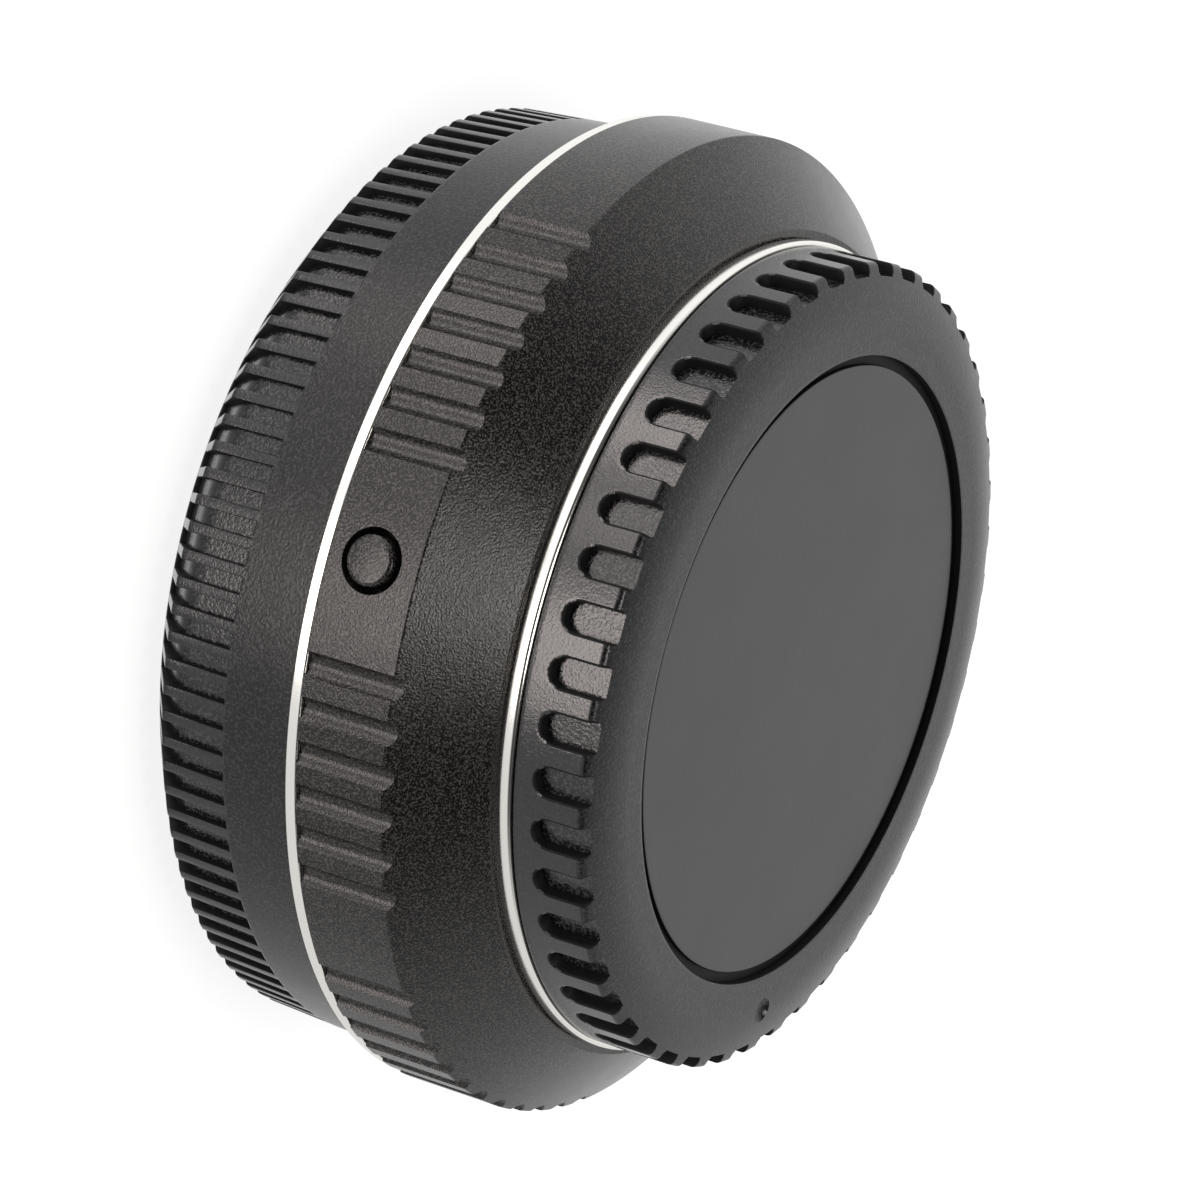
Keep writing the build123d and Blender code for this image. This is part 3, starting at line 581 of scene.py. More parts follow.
@dataclass
class Bayonet:
    """Places and tabs shared by both mounts and their caps."""

    tabs: int = 3
    screw_angles: tuple[float, ...] = (45.0, 135.0, 225.0, 315.0)

    def screw_places(self, circle: float) -> list[Vector]:
        """Gives the places of a mount's screws on their circle."""
        return [spot(circle, angle, 0) for angle in self.screw_angles]

    def grow_tabs(self, mesh: BMesh, wall: float, reach: float, low: float, high: float, arc: float) -> None:
        """Pushes the tabs out of a round wall.

        Args:
            mesh: Mesh of a mount or a cap.
            wall: Radius of the wall.
            reach: Radius at which the tabs end.
            low: Height at which they start.
            high: Height at which they end.
            arc: Degrees that each tab takes up.
        """
        chosen = []
        for face in mesh.faces:
            radius, angle, height = polar(face.calc_center_median())
            near_tab = abs(off_centre(angle, 360 / self.tabs)) < arc / 2
            if abs(radius - wall) < CLOSE and low < height < high and near_tab:
                chosen.append(face)
        push_faces(mesh, chosen, lambda point: spot(reach, polar(point)[1], point.z))
        weld(mesh)


BAYONET = Bayonet()


class CapRegion(IntEnum):
    """Which part of the mould a cap's face comes from, or the painted shade where it lies in shade."""

    GRAIN = 0
    SATIN = 1
    FLOOR = 2
    # Painted shade for faces that lie in shade in slots and grooves
    WALL = 3
    DISC = 4


@dataclass
class FrontCap:
    """Black cap on the lens side: crowned face with a disc in a ring groove, slotted rim, tabbed skirt."""

    rim_foot: float = 32.4
    rim_inner: float = 32.4
    rim_edge: float = 0.35
    rim_edge_drop: float = 0.5
    crown_start: float = 29.05
    crown_drop: float = 0.95
    groove_radius: float = 26.85
    groove_depth: float = 0.85
    groove_fillet: float = 0.06
    groove_margin: float = 0.35
    disc_radius: float = 25.95
    disc_drop: float = 0.45
    plate: float = 1.7
    skirt_radius: float = 26.7
    skirt_wall: float = 1.7
    tab_radius: float = 28.4
    tab_thickness: float = 1.35
    tab_arc: float = 50.0
    tab_column: float = 2.5
    slots: int = 48
    slot_width: float = 2.45
    slot_depth: float = 1.05
    slot_land: float = 1.9
    slot_steps: int = 8
    slot_lip: float = 0.22
    slot_margin: float = 0.5
    wall_margin: float = 0.3
    wall_tilt: float = 0.3
    floor_tilt: float = 0.99
    foot_tilt: float = -0.5
    crown_tilt: float = 0.12
    edge_fillet: float = 0.12
    dimple_angle: float = 107.6
    dimple_place: float = 30.3
    dimple_radius: float = 1.2
    dimple_depth: float = 0.55
    dimple_steps: int = 40

    def __post_init__(self) -> None:
        """Takes the heights and the radius from the CAD node."""
        self.skirt_foot, self.face, self.rim = node_span("front_cap")
        self.pitch = 360 / self.slots
        self.floor = self.rim - self.slot_depth
        self.slot_centre = self.rim_foot + self.slot_land + self.slot_width / 2
        self.slot_end = self.slot_centre - self.slot_width / 2
        self.groove = self.face - self.groove_depth
        self.disc = self.face - self.disc_drop
        self.underside = self.groove - self.plate

    def outline(self) -> list[Point]:
        """Draws the section, from the middle of the disc round to the middle of the underside.

        Returns:
            Radius and height of each outline point.
        """
        crown_end = self.rim - self.rim_edge
        width = crown_end - self.crown_start
        size = (width ** 2 + self.crown_drop ** 2) / (2 * self.crown_drop)
        reach = self.floor - self.crown_start
        floor_top = (self.floor, self.face - size + math.sqrt(size ** 2 - reach ** 2))
        top = rounded([
            Corner(0, self.disc),
            Corner(self.disc_radius - self.groove_margin, self.disc),
            Corner(self.disc_radius, self.disc, self.groove_fillet),
            Corner(self.disc_radius, self.groove),
            Corner(self.groove_radius, self.groove),
            Corner(self.groove_radius, self.face, self.groove_fillet),
            Corner(self.groove_radius + self.groove_margin, self.face),
            Corner(self.crown_start, self.face),
        ])
        crown, heading = tangent_arc(top[-1], (1, 0), floor_top, steps=6)
        shoulder, heading = tangent_arc(floor_top, heading, (crown_end, self.face - self.crown_drop), steps=2)
        rim_top = shoulder[-1][1] - self.rim_edge_drop
        edge, _ = tangent_arc(shoulder[-1], heading, (self.rim, rim_top), steps=4)
        inside = rounded([
            Corner(self.rim, self.slot_centre),
            Corner(self.rim, self.slot_centre - self.slot_margin),
            Corner(self.rim, self.rim_foot + self.slot_margin),
            Corner(self.rim, self.rim_foot, self.edge_fillet),
            Corner(self.rim_inner, self.rim_foot, self.edge_fillet),
            Corner(self.rim_inner, self.underside),
            Corner(self.skirt_radius, self.underside),
            Corner(self.skirt_radius, self.skirt_foot + self.tab_thickness),
            Corner(self.skirt_radius, self.skirt_foot),
            Corner(self.skirt_radius - self.skirt_wall, self.skirt_foot),
            Corner(self.skirt_radius - self.skirt_wall, self.underside),
            Corner(0, self.underside),
        ])
        return top + crown + shoulder + edge + inside

    def columns(self) -> list[float]:
        """Gives the angles of the mesh columns, closer together where a slot's round end needs them.

        Returns:
            Angles of a full turn, with both ends.
        """
        half = self.slot_width / 2
        turns = [math.pi * (step / self.slot_steps - 0.5) for step in range(self.slot_steps + 1)]
        across = [math.degrees(math.asin(half * math.sin(turn) / self.rim)) for turn in turns]
        local = [-self.pitch / 2, -self.tab_column, *across, self.tab_column]
        angles = [index * self.pitch + place for index in range(self.slots) for place in local]
        return [*angles, 360 - self.pitch / 2]

    def round_slot_ends(self, mesh: BMesh) -> None:
        """Pulls the row at the slots' centres down to half circles, and the row under it likewise."""
        for vert in mesh.verts:
            radius, angle, height = polar(vert.co)
            aside = radius * math.sin(math.radians(off_centre(angle, self.pitch)))
            for margin in (0.0, self.slot_margin):
                reach = self.slot_width / 2 + margin
                on_row = abs(height - self.slot_centre + margin) < WELD and radius > self.floor
                if on_row and abs(aside) < reach:
                    vert.co.z = min(height, self.slot_centre - math.sqrt(reach ** 2 - aside ** 2))

    def to_floor(self, point: Vector) -> Vector:
        """Moves a point of the rim in to the flat floor of its slot.

        Args:
            point: Point on the rim or crown.

        Returns:
            Its place on the floor.
        """
        _, angle, _ = polar(point)
        middle = Matrix.Rotation(math.radians(angle - off_centre(angle, self.pitch)), 3, "Z")
        flat = middle.inverted() @ point
        flat.y = -min(-flat.y, self.floor)
        return middle @ flat

    def in_slot(self, face: BMFace) -> bool:
        """Says whether a face of the plain rim lies where a slot is cut."""
        radius, angle, height = polar(face.calc_center_median())
        aside = radius * math.sin(math.radians(off_centre(angle, self.pitch)))
        under = max(self.slot_centre - height, 0)
        return (radius > self.floor - TOUCH / 2 and face.normal.z > self.foot_tilt
                and math.hypot(aside, under) < self.slot_width / 2)

    def on_rim(self, edge: BMEdge) -> bool:
        """Says whether an edge is the mouth of a slot."""
        radius = min(polar(vert.co)[0] for vert in edge.verts)
        height = min(vert.co.z for vert in edge.verts)
        return radius > self.floor + self.wall_margin and height > self.slot_end - TOUCH

    def region(self, face: BMFace) -> CapRegion:
        """Names the part of the mould that a face comes from, or the painted shade for its groove and slot
        walls.

        Args:
            face: Face of the finished cap.

        Returns:
            Its region.
        """
        radius, angle, height = polar(face.calc_center_median())
        # The groove round the disc takes the painted shade.
        if height > self.groove - CLOSE and radius < self.groove_radius + TOUCH:
            on_disc = radius < self.disc_radius - self.groove_fillet and height > self.disc - CLOSE
            return CapRegion.DISC if on_disc else CapRegion.WALL
        aside = off_centre(angle, self.pitch)
        outward = face.normal.dot(spot(1, angle - aside, 0))
        sideways = abs(face.normal.dot(spot(1, angle - aside + 90, 0)))
        if outward > self.floor_tilt and abs(radius * math.cos(math.radians(aside)) - self.floor) < TOUCH:
            return CapRegion.FLOOR
        # Slot walls and the slots' round ends take the painted shade.
        beside_slot = radius > self.floor + TOUCH and height > self.slot_end - self.wall_margin
        slot_bottom = height < self.slot_centre and face.normal.z > self.wall_tilt
        if beside_slot and (sideways > self.wall_tilt or slot_bottom):
            return CapRegion.WALL
        rim_top = self.face - self.crown_drop - self.rim_edge_drop
        if height > rim_top + CLOSE and face.normal.z > self.crown_tilt:
            return CapRegion.GRAIN
        return CapRegion.SATIN

    def build(self) -> bpy.types.Object:
        """Models the cap and dresses it.

        Returns:
            The finished piece.
        """
        mesh = turned(self.outline(), self.columns())
        self.round_slot_ends(mesh)
        push_faces(mesh, [face for face in mesh.faces if self.in_slot(face)], self.to_floor)
        BAYONET.grow_tabs(mesh, self.skirt_radius, self.tab_radius, self.skirt_foot,
                          self.skirt_foot + self.tab_thickness, self.tab_arc)
        soften(mesh, self.on_rim, self.slot_lip)
        for face in mesh.faces:
            face.material_index = self.region(face)
        cap = as_object(mesh, "dust_cap_front", (CAP_GRAIN, CAP_SATIN, CAP_FLOOR, CAP_PAINTED_SHADE, CAP_DISC))
        ball = (self.dimple_radius ** 2 + self.dimple_depth ** 2) / (2 * self.dimple_depth)
        dimple = bmesh.new()
        place = spot(self.dimple_place, self.dimple_angle, self.face + ball - self.dimple_depth)
        bmesh.ops.create_uvsphere(dimple, u_segments=self.dimple_steps, v_segments=self.dimple_steps,
                                  radius=ball, matrix=Matrix.Translation(place))
        carve(cap, dimple)
        dress(cap, "front_cap", "front_cap")
        return cap


@dataclass
class RearCap:
    """Black cap on the camera side: a ribbed cup with a chamfered edge and a lugged inner ring."""

    edge_inset: float = 4.05
    kink_inset: float = 0.64
    kink_height: float = 2.65
    kink_fillet: float = 0.5
    moat_radius: float = 38.6
    moat_floor: float = 3.4
    ring_radius: float = 36.5
    ring_inner: float = 35.0
    ring_top: float = 15.0
    floor_top: float = 2.2
    lug_radius: float = 32.8
    lug_low: float = 13.1
    lug_high: float = 14.6
    lug_arc: float = 50.0
    slots: int = 111
    slot_start: float = 0.44
    slot_share: float = 0.61
    slot_depth: float = 0.55
    slot_top: float = 8.72
    slot_kink: float = 3.45
    slot_rim: float = 0.19
    slot_lip: float = 0.45
    chamfer_rows: tuple[float, ...] = (1.0, 1.85, 2.2)
    side_rows: tuple[float, ...] = (3.25, 3.7, 4.3, 5.2)
    satin_top: float = 8.95
    kink_blend: float = 0.9
    rib_lip: float = 0.1
    rib_margin: float = 0.2
    side_margin: float = 0.25
    kink_margin: float = 0.5
    cup_wall: float = 1.0
    wall_tilt: float = 0.85
    edge_fillet: float = 0.15

    def __post_init__(self) -> None:
        """Takes the height and the radius from the CAD node."""
        _, self.top, self.top_radius = node_span("rear_cap")
        self.pitch = 360 / self.slots
        self.kink = self.top_radius - self.kink_inset
        self.edge = self.top_radius - self.edge_inset
        self.lean = self.kink_inset / (self.top - self.kink_height)
        self.slope = (self.kink - self.edge) / self.kink_height
        rise = self.slot_lip * self.slope / math.hypot(1, self.slope)
        self.lip_foot = (self.side(self.slot_rim) - rise / self.slope, self.slot_rim + rise)

    def side(self, height: float) -> float:
        """Gives the radius of the side, or of the chamfer under its kink, at a height."""
        if height < self.kink_height:
            return self.edge + height * self.slope
        return self.kink + (height - self.kink_height) * self.lean

    def slot_floor(self, height: float) -> float:
        """Gives the radius of a slot's floor, with its kink blended.

        Args:
            height: Height on the floor.

        Returns:
            Radius in millimetres.
        """
        upright = self.kink + (height - self.kink_height) * self.lean - self.slot_depth
        kink = self.kink + (self.slot_kink - self.kink_height) * self.lean - self.slot_depth
        start, low = self.lip_foot
        sloped = start + (kink - start) * (height - low) / (self.slot_kink - low)
        blend = max(self.kink_blend - abs(upright - sloped), 0) / self.kink_blend
        return min(upright, sloped) - blend ** 2 * self.kink_blend / 4

    def outline(self) -> list[Point]:
        """Draws the section, from the middle of the underside round to the middle of the inside.

        Returns:
            Radius and height of each outline point.
        """
        return rounded([
            Corner(0, 0),
            Corner(self.edge, 0),
            Corner(self.side(self.slot_rim), self.slot_rim),
            *[Corner(self.side(height), height) for height in self.chamfer_rows],
            Corner(self.kink, self.kink_height, self.kink_fillet),
            *[Corner(self.side(height), height) for height in self.side_rows],
            Corner(self.side(self.slot_top), self.slot_top),
            Corner(self.side(self.satin_top), self.satin_top),
            Corner(self.top_radius, self.top, self.edge_fillet),
            Corner(self.moat_radius, self.top, self.edge_fillet),
            Corner(self.moat_radius, self.moat_floor),
            Corner(self.ring_radius, self.moat_floor),
            Corner(self.ring_radius, self.ring_top),
            Corner(self.ring_inner, self.ring_top),
            Corner(self.ring_inner, self.lug_high),
            Corner(self.ring_inner, self.lug_low),
            Corner(self.ring_inner, self.floor_top),
            Corner(0, self.floor_top),
        ], steps=4)

    def slot_half(self) -> float:
        """Gives half of a slot's angle, in degrees."""
        return self.slot_share * self.pitch / 2

    def columns(self) -> list[float]:
        """Gives the angles of the mesh columns, one slot and one rib after another.

        Returns:
            Angles of a full turn, with both ends.
        """
        half = self.slot_half()
        local = [-self.pitch / 2, -half, -half / 2, 0, half / 2, half]
        first = self.slot_start
        angles = [first + index * self.pitch + place for index in range(self.slots) for place in local]
        return [*angles, first + 360 - self.pitch / 2]

    def on_side(self, point: Vector) -> bool:
        """Says whether a point is on the outside of the cup."""
        radius, _, height = polar(point)
        return height > TOUCH / 2 and abs(radius - self.side(height)) < self.side_margin

    def in_slot(self, face: BMFace) -> bool:
        """Says whether a face of the plain cup lies where a slot is cut."""
        middle = face.calc_center_median()
        _, angle, height = polar(middle)
        return (self.on_side(middle) and self.slot_rim < height < self.slot_top
                and abs(off_centre(angle, self.pitch, self.slot_start)) < self.slot_half())

    def to_floor(self, point: Vector) -> Vector:
        """Moves a point of the side in to its slot's floor.

        Args:
            point: Point on the side or chamfer.

        Returns:
            Its place on the floor.
        """
        _, angle, height = polar(point)
        if height < self.kink_height:
            share = (height - self.slot_rim) / (self.kink_height - self.slot_rim)
            level = self.lip_foot[1] + share * (self.slot_kink - self.lip_foot[1])
        else:
            share = (height - self.kink_height) / (self.slot_top - self.kink_height)
            level = self.slot_kink + share * (self.slot_top - self.slot_kink)
        return spot(self.slot_floor(level), angle, level)

    def on_rib(self, edge: BMEdge) -> bool:
        """Says whether an edge is the mouth of a slot."""
        return all(self.on_side(vert.co) and vert.co.z < self.slot_top + TOUCH for vert in edge.verts)

    def region(self, face: BMFace) -> CapRegion:
        """Names the part of the mould that a face comes from, or the painted shade for slot walls and the low
        floors.

        Args:
            face: Face of the finished cap.

        Returns:
            Its region.
        """
        radius, angle, height = polar(face.calc_center_median())
        if height > self.satin_top and radius > self.moat_radius:
            return CapRegion.GRAIN
        if not TOUCH / 2 < height < self.slot_top or radius < self.side(height) - self.cup_wall:
            return CapRegion.SATIN
        aside = off_centre(angle, self.pitch, self.slot_start)
        # Slot walls take the painted shade.
        if abs(face.normal.dot(spot(1, angle - aside + 90, 0))) > self.wall_tilt:
            return CapRegion.WALL
        on_rib = abs(aside) > self.slot_half() or radius > self.side(height) - self.rib_margin
        if on_rib or abs(height - self.slot_kink) < self.kink_margin:
            return CapRegion.SATIN
        # Below the kink, the floor of the slot's pocket lies in shade and takes the painted shade.
        return CapRegion.FLOOR if height > self.slot_kink else CapRegion.WALL

    def build(self) -> bpy.types.Object:
        """Models the cap and dresses it.

        Returns:
            The finished piece.
        """
        mesh = turned(self.outline(), self.columns())
        push_faces(mesh, [face for face in mesh.faces if self.in_slot(face)], self.to_floor)
        BAYONET.grow_tabs(mesh, self.ring_inner, self.lug_radius, self.lug_low, self.lug_high, self.lug_arc)
        soften(mesh, self.on_rib, self.rib_lip)
        for face in mesh.faces:
            face.material_index = self.region(face)
        cap = as_object(mesh, "dust_cap_rear", (CAP_GRAIN, CAP_SATIN, CAP_FLOOR, CAP_PAINTED_SHADE))
        dress(cap, "rear_cap", "rear_cap")
        return cap


@dataclass
class Housing:
    """Blasted aluminium shell: grooved side, cone, web and the bore of the release button."""

    straight: float = 8.2
    lip: float = 35.45
    front_bore: float = 28.9
    web_bore: float = 26.9
    web_top: float = 28.9
    web_bottom: float = 22.0
    rear_bore: float = 35.0
    groove_pitch: float = 5.0
    groove_width: float = 2.05
    groove_depth: float = 0.68
    groove_groups: tuple[tuple[float, int], ...] = (
        (-42.5, 7), (12.5, 6), (52.5, 11), (122.5, 11), (192.5, 9))
    groove_steps: int = 12
    groove_lip: float = 0.07
    plain_step: float = 1.25
    edge_fillet: float = 0.1
    crease_line: float = 0.05
    crease_margin: float = 1.0
    button_height: float = 3.88
    button_bore: float = 2.68
    button_wall: float = 4.5
    pocket_radius: float = 3.45
    pocket_end: float = 34.0
    channel_half: float = 2.35
    channel_low: float = 17.75
    pin_circle: float = 31.0
    pin_bore: float = 1.05

    def __post_init__(self) -> None:
        """Takes the heights and the radius from the CAD node."""
        self.foot, self.top, self.radius = node_span("housing")
        self.crease = self.foot + self.straight
        half = self.groove_width / 2
        self.arc = (half ** 2 + self.groove_depth ** 2) / (2 * self.groove_depth)
        self.arc_centre = self.radius - self.groove_depth + self.arc

    def grooves(self) -> list[float]:
        """Gives the angle of each grip groove."""
        return [first + step * self.groove_pitch for first, count in self.groove_groups
                for step in range(count)]

    def groove_half(self) -> float:
        """Gives half of a groove's angle, in degrees."""
        return math.degrees(math.asin(self.groove_width / 2 / self.radius))

    def columns(self) -> list[float]:
        """Gives the angles of the mesh columns, closer together across each groove.

        Returns:
            Angles of a full turn, with both ends.
        """
        half = self.groove_half()
        across = [half * (2 * step / self.groove_steps - 1) for step in range(self.groove_steps + 1)]
        grooves = {round(angle % 360, 3) for angle in self.grooves()}
        sector = self.groove_pitch / 2
        angles: list[float] = []
        for index in range(round(360 / self.groove_pitch)):
            middle = (index + 0.5) * self.groove_pitch
            if round(middle, 3) in grooves:
                angles += [middle - sector, *[middle + place for place in across]]
            else:
                steps = round(self.groove_pitch / self.plain_step)
                angles += [middle - sector + self.plain_step * step for step in range(steps)]
        return angles + [360.0]

    def groove_radius(self, angle: float) -> float:
        """Gives the radius of the side at an angle, less in a groove.

        Args:
            angle: Angle from the button, in degrees.

        Returns:
            Radius in millimetres.
        """
        aside = min((off_centre(angle, 360, groove) for groove in self.grooves()), key=abs)
        if abs(aside) >= self.groove_half():
            return self.radius
        turn = math.radians(aside)
        reach = self.arc_centre * math.sin(turn)
        return self.arc_centre * math.cos(turn) - math.sqrt(self.arc ** 2 - reach ** 2)

    def outline(self) -> list[Point]:
        """Draws the section, from the rear edge up the side and back through the bores.

        Returns:
            Radius and height of each outline point.
        """
        return rounded([
            Corner(self.rear_bore, self.foot),
            Corner(self.radius, self.foot, self.edge_fillet),
            Corner(self.radius, self.crease - 2 * self.crease_line),
            Corner(self.radius - self.crease_line, self.crease - self.crease_line),
            Corner(self.radius, self.crease),
            Corner(self.lip, self.top, self.edge_fillet),
            Corner(self.front_bore, self.top),
            Corner(self.front_bore, self.web_top),
            Corner(self.web_bore, self.web_top),
            Corner(self.web_bore, self.web_bottom),
            Corner(self.rear_bore, self.web_bottom),
            Corner(self.rear_bore, self.foot),
        ])

    def press_grooves(self, mesh: BMesh) -> None:
        """Sinks the grooves into the side, out to where each one leaves the cone."""
        rise = (self.top - self.crease) / (self.radius - self.lip)
        for vert in mesh.verts:
            radius, angle, height = polar(vert.co)
            on_side = (radius > self.radius - self.edge_fillet - TOUCH / 2
                       and height < self.crease + TOUCH / 2)
            depth = self.radius - self.groove_radius(angle)
            if on_side and depth > 0:
                level = self.crease + depth * rise if height > self.crease - TOUCH / 2 else height
                start = self.radius if height > self.crease - self.crease_margin else radius
                vert.co = spot(start - depth, angle, level)

    def on_groove(self, edge: BMEdge) -> bool:
        """Says whether an edge is the long side of a groove."""
        low, high = self.foot + self.edge_fillet - TOUCH / 2, self.crease + TOUCH / 2
        return all(low < vert.co.z < high and polar(vert.co)[0] > self.radius - TOUCH / 2
                   for vert in edge.verts)

    def button_cutter(self) -> BMesh:
        """Makes the stepped bore of the button.

        Returns:
            A cutter along Y.
        """
        step, mouth = self.button_wall - self.radius, -self.radius - self.button_wall
        return turn_about_button([
            (0, mouth), (self.button_bore, mouth), (self.button_bore, step), (self.pocket_radius, step),
            (self.pocket_radius, -self.pocket_end), (0, -self.pocket_end),
        ], self.foot + self.button_height)

    def channel_cutter(self) -> BMesh:
        """Makes the channel that the button's fork slides in.

        Returns:
            A box cutter.
        """
        mesh = bmesh.new()
        step = self.button_wall - self.radius
        size = Vector((2 * self.channel_half, -self.pocket_end - step, self.web_bottom - self.channel_low))
        add_box(mesh, size, (0, (step - self.pocket_end) / 2, self.channel_low + size.z / 2))
        return mesh

    def build(self) -> bpy.types.Object:
        """Models the housing and dresses it.

        Returns:
            The finished piece.
        """
        mesh = turned(self.outline(), self.columns())
        self.press_grooves(mesh)
        soften(mesh, self.on_groove, self.groove_lip)
        shell = as_object(mesh, "housing_shell", (HOUSING_FINISH,))
        carve(shell, self.button_cutter())
        carve(shell, self.channel_cutter())
        holes = bmesh.new()
        drill(holes, [spot(self.pin_circle, 0, 0)], self.pin_bore, self.web_bottom - OVERCUT,
              self.top + OVERCUT)
        carve(shell, holes)
        dress(shell, "housing", "housing")
        return shell


@dataclass
class ReleaseButton:
    """Round black button with its retaining flange and the fork that draws the lock pin."""

    radius: float = 2.075
    edge_fillet: float = 0.35
    flange_radius: float = 3.4
    flange_thickness: float = 1.0
    fork_gap: float = 2.5
    fork_blade: float = 0.9
    fork_headroom: float = 0.25
    fork_margin: float = 0.45
    pin_circle: float = 31.0
    pin_travel: float = 1.2
    pin_slot: float = 0.55
    pin_height: float = 20.75

    def __post_init__(self) -> None:
        """Takes the place of the button from the CAD node and the housing's bore."""
        low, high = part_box("release_button")
        self.front, self.back = low.y / MM, high.y / MM
        self.shell = Housing()
        self.height = self.shell.foot + self.shell.button_height
        self.fork_high = self.shell.web_bottom - self.fork_headroom

    def head(self) -> BMesh:
        """Makes the round head with its flange.

        Returns:
            Mesh in millimetres.
        """
        flange = self.shell.button_wall - self.shell.radius
        return turn_about_button(rounded([
            Corner(0, self.front),
            Corner(self.radius, self.front, self.edge_fillet),
            Corner(self.radius, flange),
            Corner(self.flange_radius, flange),
            Corner(self.flange_radius, flange + self.flange_thickness),
            Corner(0, flange + self.flange_thickness),
        ], steps=5), self.height)

    def fork(self) -> BMesh:
        """Makes the two blades behind the flange.

        Returns:
            Mesh in millimetres.
        """
        mesh = bmesh.new()
        start = self.shell.button_wall - self.shell.radius + self.flange_thickness / 2
        low = self.pin_height - self.pin_travel - self.pin_slot - self.fork_margin
        size = (self.fork_blade, self.back - start, self.fork_high - low)
        aside = (self.fork_gap + self.fork_blade) / 2
        for place in (-aside, aside):
            add_box(mesh, size, (place, (start + self.back) / 2, (low + self.fork_high) / 2))
        return mesh

    def pin_slots(self) -> BMesh:
        """Makes the sloping slot that takes the lock pin's cross pin.

        Returns:
            A cutter across both blades.
        """
        mesh = bmesh.new()
        bmesh.ops.create_cone(mesh, cap_ends=True, segments=HOLE_STEPS, radius1=self.pin_slot,
                              radius2=self.pin_slot, depth=3 * self.fork_gap,
                              matrix=Matrix.Rotation(math.pi / 2, 4, "Y"))
        ahead = [vert for vert in mesh.verts if vert.co.y + vert.co.z < -WELD]
        bmesh.ops.translate(mesh, vec=(0, -self.pin_travel, -self.pin_travel), verts=ahead)
        bmesh.ops.translate(mesh, vec=(0, -self.pin_circle, self.pin_height), verts=mesh.verts)
        return mesh

    def build(self) -> bpy.types.Object:
        """Models the button and dresses it.

        Returns:
            The finished piece.
        """
        button = as_object(self.head(), "button_and_fork", (HOUSING_FINISH,))
        carve(button, self.fork(), Carving.JOIN)
        carve(button, self.pin_slots())
        dress(button, "release_button", "release_button")
        return button


@dataclass
class LensMountRing:
    """Chrome bayonet ring on the lens side, seen as a bright band between the cone and the front cap."""

    inner: float = 29.0
    throat: float = 27.0
    land: float = 32.2
    land_step: float = 0.5
    undercut: float = 0.35
    undercut_height: float = 0.3
    tab_thickness: float = 1.35
    tab_arc: float = 60.0
    screw_circle: float = 30.6
    screw_bore: float = 0.82
    screw_head: float = 1.47
    pin_circle: float = 31.0
    pin_bore: float = 1.05
    edge_fillet: float = 0.1
    shoulder_fillet: float = 0.3
    columns: int = 360

    def __post_init__(self) -> None:
        """Takes the heights and the radius from the CAD node."""
        self.foot, self.top, self.band = node_span("lens_mount_ring")

    def build(self) -> bpy.types.Object:
        """Models the ring and dresses it.

        Returns:
            The finished piece.
        """
        tab_foot, shoulder = self.top - self.tab_thickness, self.top - self.land_step
        neck, ledge = self.band - self.undercut, self.foot + self.undercut_height
        mesh = turned(rounded([
            Corner(self.inner, self.foot),
            Corner(neck, self.foot),
            Corner(neck, ledge),
            Corner(self.band, ledge, self.edge_fillet / 2),
            Corner(self.band, shoulder, self.shoulder_fillet),
            Corner(self.land, shoulder),
            Corner(self.land, self.top, self.edge_fillet),
            Corner(self.inner, self.top),
            Corner(self.inner, tab_foot),
            Corner(self.inner, self.foot),
        ]), even_angles(self.columns))
        BAYONET.grow_tabs(mesh, self.inner, self.throat, tab_foot, self.top, self.tab_arc)
        ring = as_object(mesh, "lens_bayonet_ring", (CHROME,))
        holes = bmesh.new()
        drill(holes, BAYONET.screw_places(self.screw_circle), self.screw_bore, self.foot - OVERCUT, self.top,
              self.screw_head)
        drill(holes, [spot(self.pin_circle, 0, 0)], self.pin_bore, self.foot - OVERCUT, self.top + OVERCUT)
        carve(ring, holes)
        dress(ring, "housing", "lens_mount_ring")
        return ring


